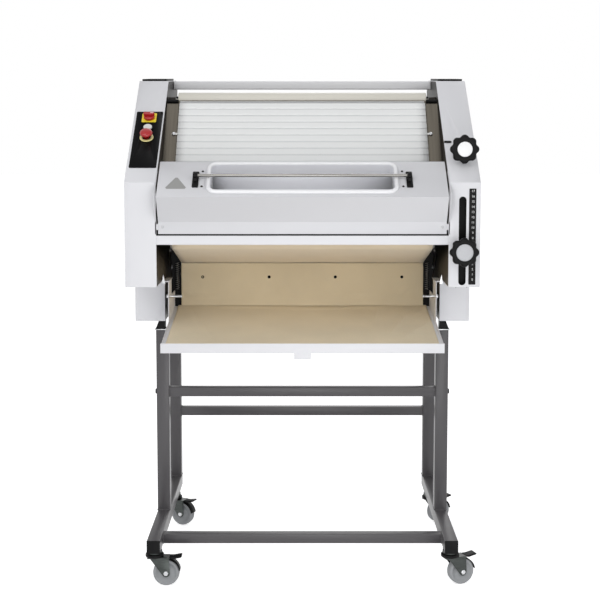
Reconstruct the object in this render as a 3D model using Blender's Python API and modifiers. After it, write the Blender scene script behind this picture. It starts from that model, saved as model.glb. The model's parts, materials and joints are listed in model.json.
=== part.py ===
"""Dough sheeter and long-loaf moulder on a castered stand.

Metres, +Z up, +X to the right of someone at the catch tray, who looks along +Y.
The row's origin is the middle of the footprint, on the floor.
Inside this script, Y is measured from the lower front face of the side covers:
every piece hangs from one empty, machine_origin, which moves that face into place.
"""
import math

import bmesh
import bpy
from mathutils import Matrix

# ---------------------------------------------------------------- driving sizes
GAP = 0.0003              # between pieces that touch
SHAFT_GAP = 0.0006        # round a turning shaft
SIDES = (("left", -1), ("right", 1))

# side covers and frames, outline as (Y, Z)
BODY_DEPTH = 0.700
BODY_TOP = 1.540
COVER_INNER = 0.437
COVER_WIDTH = 0.0945
COVER_OUTER = COVER_INNER + COVER_WIDTH
COVER_WALL = 0.002
FRAME_THICK = 0.006
CHIN_Z = 0.903            # underside of the covers in front
CHIN_DEPTH = 0.228        # from the front face back to the lower box
BODY_BOTTOM = 0.765
SLOPE_FOOT_Z = 1.217      # where the sloping face starts
SLOPE_HEAD_Y = 0.403
SLOPE_HEAD_Z = 1.530
CROWN_Y = 0.655           # rear end of the top face
REAR_SHOULDER = 0.025
TOP_BEAM_Y = 0.576
TOP_BEAM_DEPTH = 0.030
TOP_BEAM_HEIGHT = 0.028
TOP_BEAM_DROP = 0.005     # under the covers' top
BACK_PANEL_TOP = 1.470
BACK_PANEL_THICK = 0.0015
BACK_PANEL_FOLD = 0.012

# stand
TUBE = 0.040
TUBE_WALL = 0.002
BRACE = 0.030
POST_X = COVER_INNER + 0.010
FOOT_FRONT = -0.072
FOOT_REAR = 0.664
FOOT_Z = 0.107            # underside of the foot bars
MOUNT_HEIGHT = 0.026
POST_TOP = BODY_BOTTOM - MOUNT_HEIGHT
FRONT_POST_Y = 0.249
LOWER_BAR_Y = 0.021
UPPER_BRACE_Z = 0.534
REAR_BRACE_Z = 0.380
FOOT_CAP = 0.0027
MOUNT_TOP_WIDTH = 0.026
MOUNT_FOOT_WIDTH = 0.036

# casters
WHEEL_R = 0.040
WHEEL_WIDTH = 0.028
CASTER_TRAIL = 0.035
AXLE_R = 0.004
FORK_LEG = 0.0025
FORK_INNER = 0.0165
SWIVEL_R = 0.023
CROWN_Z = 0.084
CASTERS = (
    ("front_left", -1, -0.037, 0),
    ("front_right", 1, -0.037, 20),
    ("rear_left", -1, 0.558, -25),
    ("rear_right", 1, 0.558, 30),
)

# front guard and feed hopper
SHEET = 0.002
GUARD_CLEAR = 0.006       # dark joint between the guard's end and the frame
GUARD_HALF = COVER_INNER - GUARD_CLEAR
GUARD_TOP_Y = 0.077
GUARD_NOSE_Y = -0.052
GUARD_KNEE_Z = 1.099
GUARD_BOTTOM_Z = 1.063
HOPPER_WIDTH = 2 * (COVER_INNER - 0.163)
HOPPER_HEIGHT = 0.117
HOPPER_CORNER = 0.018
HOPPER_MIDDLE = 0.020     # its middle, up the slope from the slope's foot
HOPPER_DEPTH = 0.040
HOPPER_LIP = 0.004
BAND_Z = 1.0305
BAND_HEIGHT = 0.0275
BAND_THICK = 0.005

# slide, as seen from its top edge down
SLIDE_TOP = (0.333, 1.460)
SLIDE_FOOT = (0.097, 1.1724)
SLIDE_HALF = COVER_INNER - 0.042
RIB_COUNT = 14
RIB_HEIGHT = 0.003
SLIDE_BASE = 0.002
BED_THICK = 0.002
BED_HALF = COVER_INNER - GAP

# rollers, (Y, Z) of each axis
TOP_ROLLER = (0.385, 1.463)
TOP_ROLLER_R = 0.029
TOP_ROLLER_HALF = COVER_INNER - 0.035
LAM_FRONT = (0.045, 1.122)
LAM_REAR = (0.128, 1.130)
LAM_R = 0.038
LAM_HALF = COVER_INNER - 0.022
BELT_FRONT = (0.075, 1.044)
BELT_FRONT_R = 0.032
BELT_REAR = (0.600, 0.930)
BELT_REAR_R = 0.050
BELT_ROLLER_HALF = COVER_INNER - 0.037
BELT_HALF = BELT_ROLLER_HALF - 0.005
BELT_THICK = 0.004
SHAFT_R = 0.010
SHAFT_END = COVER_INNER + 0.0053   # inside the frame plate
BLOCK_HALF_Y = 0.026
BLOCK_HALF_Z = 0.024
BLOCK_THICK = 0.016
TIE_SIZE = 0.020
TIE_Y = 0.190

# pressing board and curling mesh
BOARD_GAP = 0.010
BOARD_THICK = 0.010
BOARD_FRONT = 0.340
BOARD_HALF = BELT_HALF
APRON_BOTTOM = 0.785
RAIL_Y = 0.470
MESH_ROD = (0.225, 1.115)
MESH_ROD_R = 0.005
MESH_HALF = BELT_HALF - 0.015
MESH_THICK = 0.002

# catch tray
TRAY_FRONT = -0.071
TRAY_FRONT_Z = 0.7445
TRAY_BACK = 0.3385
TRAY_BACK_Z = 0.799
TRAY_CHEEK = COVER_INNER - 0.0215
TRAY_RIM_HALF = TRAY_CHEEK + 0.0045
TRAY_RIM_Z = 0.7156
CHEEK_FRONT_Y = 0.139
CHEEK_REAR_Y = 0.225
FLANGE_REACH = COVER_INNER + 0.003
CANVAS_THICK = 0.0015
CANVAS_HALF = TRAY_CHEEK - 0.0105
TAB_WIDTH = 0.051
TAB_DROP = 0.018

# controls
PANEL_WIDTH = 0.083
PANEL_X = -(COVER_INNER + 0.0455)
PANEL_LOW = 0.067         # up the slope from its foot
PANEL_HIGH = 0.344
PANEL_THICK = 0.0015
SWITCH_S = 0.311
START_S = 0.258
STOP_S = 0.212
BUTTON_STEM_R = 0.009
KNOB_R = 0.044
KNOB_LOBES = 8
KNOB_LOBE_DEPTH = 0.006
KNOB_THICK = 0.022
UPPER_KNOB = (COVER_INNER + 0.050, 1.315)
UPPER_KNOB_Y = 0.042
LOWER_KNOB = (COVER_INNER + 0.041, 1.013)
LOWER_KNOB_Y = -0.050
SLOT_WIDTH = 0.022
SLOT_LOW = 0.909
SLOT_HIGH = 1.175
SLIDER_BLOCK = 0.018
SLIDER_HALF_Z = 0.030
SAFETY_HALF = HOPPER_WIDTH / 2 + 0.045
SAFETY_ROD_R = 0.0045
SAFETY_UP = 0.015         # up the slope from its foot
SAFETY_LIFT = 0.015
SAFETY_ARM_LENGTH = 0.030
SAFETY_ARM_THICK = 0.010

# drive on the left frame
MOTOR = (0.520, 1.200)
GEARBOX = 0.110
MOTOR_R = 0.052
MOTOR_END = -0.180
GLAND_R = 0.011           # mains inlet, under the left lower box
GLAND_DROP = 0.020
GLAND_INSET = 0.120
SPROCKET_X = -(COVER_INNER + 0.019)
SPROCKET_THICK = 0.006
MOTOR_SPROCKET_R = 0.036
BELT_SPROCKET_R = 0.048
CHAIN_HEIGHT = 0.008

ALONG_X = (math.pi / 2, 0, math.pi / 2)   # outline (Y, Z), depth along X
ALONG_Y = (math.pi / 2, 0, 0)             # outline (X, Z), depth along -Y
TURN_X = (0, math.pi / 2, 0)              # a turned piece's axis along X
SLOPE = math.atan2(SLOPE_HEAD_Z - SLOPE_FOOT_Z, SLOPE_HEAD_Y)
ON_SLOPE = (SLOPE, 0, 0)
BODY_FRONT = -(BODY_DEPTH + FOOT_FRONT - FOOT_CAP - GAP) / 2


# ---------------------------------------------------------------- scene and finishes
def clear_scene():
    """Remove every object, so that the script can run again."""
    for obj in list(bpy.data.objects):
        bpy.data.objects.remove(obj, do_unlink=True)


def new_collection(name):
    """A collection under the scene's own."""
    collection = bpy.data.collections.new(name)
    bpy.context.scene.collection.children.link(collection)
    return collection


def finish(name, colour, roughness, metallic=0.0):
    """A Principled BSDF of one colour."""
    material = bpy.data.materials.new(name)
    material.use_nodes = True
    shader = material.node_tree.nodes["Principled BSDF"]
    shader.inputs["Base Color"].default_value = (*colour, 1.0)
    shader.inputs["Roughness"].default_value = roughness
    shader.inputs["Metallic"].default_value = metallic
    return material


def add_empty(name, location, parent=None, turn=0.0):
    """A joint's axis or a group's origin."""
    empty = bpy.data.objects.new(name, None)
    PARTS.objects.link(empty)
    empty.parent = parent
    empty.location = location
    empty.rotation_euler = (0, 0, turn)
    return empty


def place(obj, look, parent, location, rotation, tool):
    """Link, paint and place an object; a tool goes with the cutters."""
    collection = CUTTERS if tool else PARTS
    collection.objects.link(obj)
    if tool:
        obj.hide_render = True
        obj.display_type = 'WIRE'
    if look:
        obj.data.materials.append(look)
    obj.parent = parent or ORIGIN
    obj.location = location
    obj.rotation_euler = rotation
    return obj


# ---------------------------------------------------------------- outlines
def circle(radius, centre=(0, 0), steps=24):
    """Points on a circle, counter-clockwise."""
    points = []
    for step in range(steps):
        angle = 2 * math.pi * step / steps
        points.append((centre[0] + radius * math.cos(angle), centre[1] + radius * math.sin(angle)))
    return points


def rectangle(width, height, centre=(0, 0)):
    """Four corners, counter-clockwise."""
    y, z = centre
    return [(y - width / 2, z - height / 2), (y + width / 2, z - height / 2),
            (y + width / 2, z + height / 2), (y - width / 2, z + height / 2)]


def rounded(width, height, radius, centre=(0, 0), steps=3):
    """A rectangle with round corners, counter-clockwise."""
    points = []
    for corner, (sx, sy) in enumerate(((1, 1), (-1, 1), (-1, -1), (1, -1))):
        cx = centre[0] + sx * (width / 2 - radius)
        cy = centre[1] + sy * (height / 2 - radius)
        for step in range(steps + 1):
            angle = math.pi / 2 * (corner + step / steps)
            points.append((cx + radius * math.cos(angle), cy + radius * math.sin(angle)))
    return points


def star(radius, lobes, depth):
    """A knob's outline: the radius waves inwards between the lobes."""
    points = []
    steps = lobes * 6
    for step in range(steps):
        angle = 2 * math.pi * step / steps
        reach = radius - depth * (1 - math.cos(lobes * angle)) / 2
        points.append((reach * math.cos(angle), reach * math.sin(angle)))
    return points


def arc(centre, radius, start, end, steps):
    """Points on an arc between two angles."""
    points = []
    for step in range(steps + 1):
        angle = start + (end - start) * step / steps
        points.append((centre[0] + radius * math.cos(angle), centre[1] + radius * math.sin(angle)))
    return points


def offset(points, distance, closed):
    """The line moved to its left by a distance, with mitred corners."""
    moved = []
    count = len(points)
    for index, (x, y) in enumerate(points):
        normals = []
        for first, second in ((index - 1, index), (index, index + 1)):
            if not closed and (first < 0 or second >= count):
                continue
            ax, ay = points[first % count]
            bx, by = points[second % count]
            length = math.hypot(bx - ax, by - ay)
            normals.append((-(by - ay) / length, (bx - ax) / length))
        nx = sum(normal[0] for normal in normals)
        ny = sum(normal[1] for normal in normals)
        scale = distance * len(normals) / (nx * nx + ny * ny)
        moved.append((x + nx * scale, y + ny * scale))
    return moved


def strip(path, thickness):
    """A bent sheet's outline: the path, and its copy moved to its left."""
    return path + offset(path, thickness, False)[::-1]


def belt_angles(first, first_r, second, second_r):
    """Direction between two pulleys and the half-angle of their tangents."""
    dy = second[0] - first[0]
    dz = second[1] - first[1]
    return math.atan2(dz, dy), math.acos((first_r - second_r) / math.hypot(dy, dz))


def belt_loop(first, first_r, second, second_r, steps=14):
    """A loop round two pulleys, counter-clockwise."""
    along, half = belt_angles(first, first_r, second, second_r)
    near = arc(second, second_r, along - half, along + half, steps)
    far = arc(first, first_r, along + half, along + 2 * math.pi - half, steps)
    return near + far


def body_outline():
    """Side view of a cover, from the chin, counter-clockwise."""
    return [
        (0, CHIN_Z), (CHIN_DEPTH, CHIN_Z), (CHIN_DEPTH, BODY_BOTTOM), (BODY_DEPTH, BODY_BOTTOM),
        (BODY_DEPTH, BODY_TOP - REAR_SHOULDER), (CROWN_Y, BODY_TOP), (SLOPE_HEAD_Y, SLOPE_HEAD_Z),
        (0, SLOPE_FOOT_Z),
    ]


def slope_point(x, up, lift):
    """A place on the sloping face: distance up it and height above it."""
    y = up * math.cos(SLOPE) - lift * math.sin(SLOPE)
    z = SLOPE_FOOT_Z + up * math.sin(SLOPE) + lift * math.cos(SLOPE)
    return (x, y, z)


# ---------------------------------------------------------------- solids
def prism(name, loops, depth, look=None, location=(0, 0, 0), rotation=(0, 0, 0),
          parent=None, tool=False):
    """Flat outlines with their holes, extruded half each way, as a welded mesh."""
    curve = bpy.data.curves.new(name, 'CURVE')
    curve.dimensions = '2D'
    curve.fill_mode = 'BOTH'
    curve.extrude = depth / 2
    for loop in loops:
        spline = curve.splines.new('POLY')
        spline.points.add(len(loop) - 1)
        for point, (x, y) in zip(spline.points, loop):
            point.co = (x, y, 0, 1)
        spline.use_cyclic_u = True
    drawn = bpy.data.objects.new(name + "_outline", curve)
    bpy.context.scene.collection.objects.link(drawn)
    graph = bpy.context.evaluated_depsgraph_get()
    mesh = bpy.data.meshes.new_from_object(drawn.evaluated_get(graph))
    bpy.data.objects.remove(drawn, do_unlink=True)
    weld = bmesh.new()
    weld.from_mesh(mesh)
    bmesh.ops.remove_doubles(weld, verts=weld.verts, dist=0.00001)
    weld.to_mesh(mesh)
    weld.free()
    mesh.materials.clear()
    return place(bpy.data.objects.new(name, mesh), look, parent, location, rotation, tool)


def block(name, size, centre, look=None, bevel=0.0, parent=None, rotation=(0, 0, 0), tool=False):
    """A box, with rounded edges if a bevel is given."""
    mesh = bpy.data.meshes.new(name)
    cube = bmesh.new()
    bmesh.ops.create_cube(cube, size=1.0, matrix=Matrix.Diagonal((*size, 1.0)))
    cube.to_mesh(mesh)
    cube.free()
    obj = place(bpy.data.objects.new(name, mesh), look, parent, centre, rotation, tool)
    if bevel:
        edge = obj.modifiers.new("edges", 'BEVEL')
        edge.width = bevel
        edge.segments = 1
    return obj


def turned(name, profile, look=None, location=(0, 0, 0), rotation=TURN_X, parent=None,
           tool=False, ring=False, steps=24):
    """A profile of (radius, height), outer side downwards, spun round Z."""
    mesh = bpy.data.meshes.new(name)
    edges = [(index, index + 1) for index in range(len(profile) - 1)]
    if ring:
        edges.append((len(profile) - 1, 0))
    mesh.from_pydata([(radius, 0, height) for radius, height in profile], edges, [])
    obj = place(bpy.data.objects.new(name, mesh), look, parent, location, rotation, tool)
    screw = obj.modifiers.new("spin", 'SCREW')
    screw.steps = steps
    screw.render_steps = steps
    screw.use_merge_vertices = True
    screw.merge_threshold = 0.00001
    screw.use_smooth_shade = True
    return obj


def rod(name, radius, start, end, **placing):
    """A plain cylinder between two heights on its axis."""
    profile = [(0, end), (radius, end), (radius, start), (0, start)]
    return turned(name, profile, **placing)


def combine(target, tool, operation):
    """Cut a tool from a piece, or join it to the piece."""
    step = target.modifiers.new(tool.name, 'BOOLEAN')
    step.operation = operation
    step.solver = 'EXACT'
    step.object = tool
    return target


def tube(name, width, length, look, location, rotation):
    """A square tube with open ends."""
    outer = rounded(width, width, TUBE_WALL, steps=2)
    inner = rectangle(width - 2 * TUBE_WALL, width - 2 * TUBE_WALL)
    return prism(name, [outer, inner], length, look, location, rotation)


def roller(name, radius, half, shaft, centre, look, left_end=None, right_end=None, parent=None):
    """A roller with its shaft ends, turned round X."""
    left = -(left_end or SHAFT_END)
    right = right_end or SHAFT_END
    profile = [(0, right), (shaft, right), (shaft, half), (radius, half),
               (radius, -half), (shaft, -half), (shaft, left), (0, left)]
    return turned(name, profile, look, (0, *centre), TURN_X, parent)


# ---------------------------------------------------------------- stand
def make_stand():
    """Foot bars, posts, crossbars, caps and the pads that carry the machine."""
    grey = finish("stand_paint", (0.13, 0.125, 0.13), 0.45)
    black = finish("black_plastic", (0.015, 0.015, 0.016), 0.5)
    foot_length = FOOT_REAR - FOOT_FRONT
    foot_middle = (FOOT_REAR + FOOT_FRONT) / 2
    foot_z = FOOT_Z + TUBE / 2
    post_foot = FOOT_Z + TUBE + GAP
    rear_post_y = FOOT_REAR - TUBE / 2
    inner = 2 * (POST_X - TUBE / 2 - GAP)
    for side, sign in SIDES:
        x = sign * POST_X
        tube("foot_bar_" + side, TUBE, foot_length, grey, (x, foot_middle, foot_z), ALONG_Y)
        make_foot_cap(side, x, foot_z, black)
        for row, y in (("front", FRONT_POST_Y), ("rear", rear_post_y)):
            middle = (post_foot + POST_TOP) / 2
            tube(row + "_post_" + side, TUBE, POST_TOP - post_foot, grey, (x, y, middle), (0, 0, 0))
            make_machine_mount(row + "_" + side, sign, y, black)
    tube("lower_crossbar", BRACE, inner, grey, (0, LOWER_BAR_Y, foot_z), TURN_X)
    tube("upper_crossbar", BRACE, inner, grey, (0, FRONT_POST_Y, UPPER_BRACE_Z), TURN_X)
    tube("rear_crossbar", BRACE, inner, grey, (0, rear_post_y, REAR_BRACE_Z), TURN_X)


def make_foot_cap(side, x, z, look):
    """A square plug in the front end of a foot bar."""
    plug_width = TUBE - 2 * TUBE_WALL - 2 * GAP
    plug_length = 0.016
    front = FOOT_FRONT - GAP
    cap = block("foot_cap_" + side, (TUBE, FOOT_CAP, TUBE), (x, front - FOOT_CAP / 2, z), look)
    centre = (x, front - 0.001 + plug_length / 2, z)
    plug = block("plug_" + side, (plug_width, plug_length, plug_width), centre, tool=True)
    combine(cap, plug, 'UNION')


def make_machine_mount(place_name, sign, y, look):
    """A black pad between a post and the machine, wider at its foot."""
    top = BODY_BOTTOM - GAP
    foot = POST_TOP + GAP
    inner = COVER_INNER + 0.001
    outline = [(inner, foot), (inner + MOUNT_FOOT_WIDTH - 0.006, foot),
               (inner + MOUNT_TOP_WIDTH - 0.006, top), (inner, top)]
    if sign < 0:
        outline = [(-x, z) for x, z in reversed(outline)]
    prism("machine_mount_" + place_name, [outline], TUBE, look, (0, y, 0), ALONG_Y)


# ---------------------------------------------------------------- casters
def make_casters():
    """Four swivel casters with pedals, each round its own swivel axis."""
    zinc = finish("zinc", (0.55, 0.55, 0.56), 0.35, 1.0)
    wheel_grey = finish("wheel_grey", (0.33, 0.34, 0.36), 0.6)
    black = finish("pedal_black", (0.012, 0.012, 0.013), 0.5)
    for name, sign, y, degrees in CASTERS:
        axis = add_empty("swivel_" + name, (sign * POST_X, y, 0), ORIGIN, math.radians(degrees))
        make_fork(name, axis, zinc)
        make_wheel(name, axis, wheel_grey)
        make_pedal(name, axis, black)


def make_fork(name, axis, look):
    """Swivel head, crown, two legs and the axle, joined."""
    crown_thick = 0.004
    crown_length = 0.066
    width = 2 * (FORK_INNER + FORK_LEG / 2)
    crown_z = CROWN_Z + crown_thick / 2
    fork = block("caster_fork_" + name, (crown_length, width, crown_thick),
                 (0.012, 0, crown_z), look, parent=axis)
    head = [(0, FOOT_Z - GAP), (SWIVEL_R, FOOT_Z - GAP), (SWIVEL_R, CROWN_Z + 0.012),
            (SWIVEL_R - 0.005, CROWN_Z + 0.002), (0, CROWN_Z + 0.002)]
    head_ring = turned("head_" + name, head, rotation=(0, 0, 0), parent=axis, tool=True, steps=16)
    combine(fork, head_ring, 'UNION')
    leg = [(-0.014, CROWN_Z + 0.003)]
    leg += arc((CASTER_TRAIL, WHEEL_R), 0.012, math.radians(205), math.radians(358), 5)
    leg += [(0.0445, CROWN_Z + 0.003)]
    for side in (-1, 1):
        tag = name + ("_a" if side < 0 else "_b")
        y = side * (FORK_INNER + FORK_LEG / 2)
        cheek = prism("leg_" + tag, [leg], FORK_LEG, None, (0, y, 0), ALONG_Y, axis, True)
        combine(fork, cheek, 'UNION')
    reach = FORK_INNER + FORK_LEG + 0.003
    pin = rod("axle_" + name, AXLE_R, -reach, reach, location=(CASTER_TRAIL, 0, WHEEL_R),
              rotation=ALONG_Y, parent=axis, tool=True, steps=12)
    combine(fork, pin, 'UNION')


def make_wheel(name, axis, look):
    """Tread, side faces and a bored hub as one ring."""
    bore = AXLE_R + GAP
    half = WHEEL_WIDTH / 2
    hub_half = FORK_INNER - GAP
    profile = [(bore, hub_half), (0.012, hub_half), (0.013, half - 0.004), (0.029, half - 0.004),
               (WHEEL_R - 0.004, half), (WHEEL_R, half - 0.006), (WHEEL_R, 0.006 - half),
               (WHEEL_R - 0.004, -half), (0.029, 0.004 - half), (0.013, 0.004 - half),
               (0.012, -hub_half), (bore, -hub_half)]
    turned("caster_wheel_" + name, profile, look, (CASTER_TRAIL, 0, WHEEL_R), ALONG_Y, axis,
           ring=True, steps=24)


def make_pedal(name, axis, look):
    """A foot lever that hinges on the end of the fork's crown."""
    hinge_x = 0.012 + 0.033 + GAP
    outline = [(0, 0.0005), (0.012, -0.0015), (0.036, 0.0035), (0.038, 0.0070), (0.034, 0.0085),
               (0.012, 0.0045), (0, 0.0045)]
    prism("brake_pedal_" + name, [outline], 0.030, look, (hinge_x, 0, CROWN_Z), ALONG_Y, axis)


# ---------------------------------------------------------------- body
def make_side_frames():
    """Inner steel plates that carry every shaft, with clearance holes."""
    steel = finish("frame_steel", (0.30, 0.30, 0.30), 0.4, 1.0)
    outline = offset(body_outline(), COVER_WALL + GAP, True)
    hole = SHAFT_R + SHAFT_GAP
    for side, sign in SIDES:
        loops = [outline]
        for centre in (TOP_ROLLER, LAM_FRONT, BELT_FRONT, BELT_REAR):
            loops.append(circle(hole, centre))
        if sign < 0:
            loops.append(circle(hole, MOTOR))
        x = sign * (COVER_INNER + GAP + FRAME_THICK / 2)
        prism("side_frame_" + side, loops, FRAME_THICK, steel, (x, 0, 0), ALONG_X)


def make_side_covers():
    """Deep folded covers over the frames, open on their inner side."""
    white = finish("white_paint", (0.74, 0.74, 0.75), 0.35)
    outline = body_outline()
    cavity = offset(outline, COVER_WALL, True)
    width = COVER_OUTER - COVER_INNER
    for side, sign in SIDES:
        middle = sign * (COVER_INNER + COVER_OUTER) / 2
        cover = prism("side_cover_" + side, [outline], width, white, (middle, 0, 0), ALONG_X)
        inward = middle - sign * COVER_WALL
        hollow = prism("hollow_" + side, [cavity], width, None, (inward, 0, 0), ALONG_X, tool=True)
        combine(cover, hollow, 'DIFFERENCE')
        if sign > 0:
            cut_right_cover(cover)
        else:
            cut_left_cover(cover)


def cut_right_cover(cover):
    """The upright slot for the height slider and the hole for the upper knob's shaft."""
    middle = (SLOT_LOW + SLOT_HIGH) / 2
    shape = rounded(SLOT_WIDTH, SLOT_HIGH - SLOT_LOW, SLOT_WIDTH / 2 - 0.0001, steps=6)
    slot = prism("height_slot", [shape], 0.020, None, (LOWER_KNOB[0], 0, middle), ALONG_Y, tool=True)
    combine(cover, slot, 'DIFFERENCE')
    x, z = UPPER_KNOB
    bore = rod("shaft_hole", SHAFT_R + SHAFT_GAP, -0.2, 0, location=(x, 0, z), rotation=ALONG_Y, tool=True)
    combine(cover, bore, 'DIFFERENCE')


def cut_left_cover(cover):
    """Clearance holes behind the control panel, and the mains gland under the lower box."""
    for tag, up in (("switch", SWITCH_S), ("start", START_S), ("stop", STOP_S)):
        spot = slope_point(PANEL_X, up, 0)
        bore = rod(tag + "_hole", BUTTON_STEM_R + 0.002, -0.010, 0.010, location=spot,
                   rotation=ON_SLOPE, tool=True)
        combine(cover, bore, 'DIFFERENCE')
    x = -(COVER_INNER + COVER_OUTER) / 2
    y = BODY_DEPTH - GLAND_INSET
    shape = [(0, COVER_WALL / 2), (GLAND_R, COVER_WALL / 2), (GLAND_R, -GLAND_DROP * 0.6),
             (GLAND_R * 0.7, -GLAND_DROP), (0, -GLAND_DROP)]
    gland = turned("gland", shape, None, (x, y, BODY_BOTTOM), (0, 0, 0), tool=True, steps=16)
    combine(cover, gland, 'UNION')


def make_cross_pieces():
    """The beams and panels that span the two frames."""
    white = finish("beam_white", (0.74, 0.74, 0.75), 0.35)
    span = 2 * COVER_INNER
    beam_z = BODY_TOP - TOP_BEAM_DROP - TOP_BEAM_HEIGHT / 2
    block("top_beam", (span, TOP_BEAM_DEPTH, TOP_BEAM_HEIGHT), (0, TOP_BEAM_Y, beam_z), white, 0.002)
    block("front_band", (span, BAND_THICK, BAND_HEIGHT),
          (0, BAND_THICK / 2, BAND_Z + BAND_HEIGHT / 2), white, 0.001)
    panel_bottom = BODY_BOTTOM + 0.005
    rear = BODY_DEPTH - COVER_WALL - GAP
    fold = rear - BACK_PANEL_FOLD
    path = [(fold, BACK_PANEL_TOP), (rear, BACK_PANEL_TOP), (rear, panel_bottom), (fold, panel_bottom)]
    prism("back_panel", [strip(path, -BACK_PANEL_THICK)], span, white, (0, 0, 0), ALONG_X)


def make_front_guard():
    """Folded white guard with the feed hopper through its sloping face."""
    white = finish("guard_white", (0.74, 0.74, 0.75), 0.35)
    top_z = SLOPE_FOOT_Z + GUARD_TOP_Y * math.tan(SLOPE)
    nose_z = SLOPE_FOOT_Z + GUARD_NOSE_Y * math.tan(SLOPE)
    path = [(GUARD_TOP_Y, top_z), (GUARD_NOSE_Y, nose_z), (0, GUARD_KNEE_Z), (0, GUARD_BOTTOM_Z)]
    guard = prism("front_guard", [strip(path, SHEET)], 2 * GUARD_HALF, white, (0, 0, 0), ALONG_X)
    middle = slope_point(0, HOPPER_MIDDLE, 0)
    inner = rounded(HOPPER_WIDTH, HOPPER_HEIGHT, HOPPER_CORNER)
    opening = offset(inner, -SHEET / 2, True)
    mouth = prism("hopper_mouth", [opening], 0.030, None, middle, ON_SLOPE, tool=True)
    combine(guard, mouth, 'DIFFERENCE')
    wall = [offset(inner, -SHEET, True), inner]
    centre = slope_point(0, HOPPER_MIDDLE, (HOPPER_LIP - HOPPER_DEPTH) / 2)
    collar = prism("hopper_collar", wall, HOPPER_DEPTH + HOPPER_LIP, None, centre, ON_SLOPE, tool=True)
    combine(guard, collar, 'UNION')
    ear_width = COVER_INNER - GUARD_HALF + 0.004
    for side, sign in SIDES:
        x = sign * (COVER_INNER - ear_width / 2)
        ear = block("guard_ear_" + side, (ear_width, 0.016, 0.018), (x, 0.009, 1.084), tool=True)
        combine(guard, ear, 'UNION')


def slide_frame():
    """The slide's top point, its unit direction down and its length."""
    dy = SLIDE_FOOT[0] - SLIDE_TOP[0]
    dz = SLIDE_FOOT[1] - SLIDE_TOP[1]
    length = math.hypot(dy, dz)
    return dy / length, dz / length, length


def slide_point(along, below):
    """A place on the slide: distance down it and depth under its rib tops."""
    dy, dz, _ = slide_frame()
    return (SLIDE_TOP[0] + along * dy - below * dz, SLIDE_TOP[1] + along * dz + below * dy)


def make_slide():
    """The ribbed feed slide on its steel bed."""
    white = finish("slide_white", (0.80, 0.80, 0.78), 0.4)
    steel = finish("bed_steel", (0.45, 0.44, 0.42), 0.3, 1.0)
    length = slide_frame()[2]
    pitch = length / RIB_COUNT
    bottom = RIB_HEIGHT + SLIDE_BASE
    outline = []
    for rib in range(RIB_COUNT):
        start = rib * pitch
        outline += [slide_point(start, RIB_HEIGHT), slide_point(start + pitch * 0.18, 0),
                    slide_point(start + pitch * 0.72, 0), slide_point(start + pitch * 0.90, RIB_HEIGHT)]
    outline += [slide_point(length, RIB_HEIGHT), slide_point(length, bottom), slide_point(0, bottom)]
    prism("ribbed_slide", [outline], 2 * SLIDE_HALF, white, (0, 0, 0), ALONG_X)
    bed_top = bottom + GAP
    bed = [slide_point(-0.012, bed_top), slide_point(length, bed_top),
           slide_point(length, bed_top + BED_THICK), slide_point(-0.012, bed_top + BED_THICK)]
    prism("slide_bed", [bed], 2 * BED_HALF, steel, (0, 0, 0), ALONG_X)


# ---------------------------------------------------------------- rollers and belt
def make_rollers():
    """All the rollers, each with its origin on its axis."""
    cream = finish("roller_cream", (0.72, 0.69, 0.62), 0.5)
    steel = finish("roller_steel", (0.5, 0.5, 0.5), 0.3, 1.0)
    roller("top_roller", TOP_ROLLER_R, TOP_ROLLER_HALF, SHAFT_R, TOP_ROLLER, cream)
    roller("laminating_roller_front", LAM_R, LAM_HALF, SHAFT_R, LAM_FRONT, cream)
    block_outer = COVER_INNER - GAP
    rear_end = block_outer - 0.002
    roller("laminating_roller_rear", LAM_R, LAM_HALF, SHAFT_R, LAM_REAR, cream, rear_end, rear_end)
    roller("belt_roller_front", BELT_FRONT_R, BELT_ROLLER_HALF, SHAFT_R, BELT_FRONT, steel)
    drive_end = -SPROCKET_X + SPROCKET_THICK
    roller("belt_roller_rear", BELT_REAR_R, BELT_ROLLER_HALF, SHAFT_R, BELT_REAR, steel, drive_end)


def make_roller_carriage():
    """Two bearing blocks for the rear roller, tied by a bar behind it."""
    steel = finish("carriage_steel", (0.35, 0.35, 0.35), 0.45, 1.0)
    outer = COVER_INNER - GAP
    y, z = LAM_REAR
    shape = [(y - BLOCK_HALF_Y, z - BLOCK_HALF_Z), (TIE_Y + TIE_SIZE / 2, z - BLOCK_HALF_Z),
             (TIE_Y + TIE_SIZE / 2, z + BLOCK_HALF_Z), (y - BLOCK_HALF_Y, z + BLOCK_HALF_Z)]
    bore = circle(SHAFT_R + SHAFT_GAP, LAM_REAR)
    carriage = block("roller_carriage", (2 * outer - BLOCK_THICK, TIE_SIZE, TIE_SIZE), (0, TIE_Y, z), steel)
    for side, sign in SIDES:
        x = sign * (outer - BLOCK_THICK / 2)
        outlines = [shape, bore]
        cheek = prism("bearing_block_" + side, outlines, BLOCK_THICK, None, (x, 0, 0), ALONG_X, tool=True)
        combine(carriage, cheek, 'UNION')


def make_belt():
    """The endless felt belt round its two rollers."""
    felt = finish("felt", (0.45, 0.36, 0.25), 0.9)
    outer = belt_loop(BELT_FRONT, BELT_FRONT_R + BELT_THICK, BELT_REAR, BELT_REAR_R + BELT_THICK)
    inner = belt_loop(BELT_FRONT, BELT_FRONT_R + SHAFT_GAP, BELT_REAR, BELT_REAR_R + SHAFT_GAP)
    prism("felt_belt", [outer, inner], 2 * BELT_HALF, felt, (0, 0, 0), ALONG_X)


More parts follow.
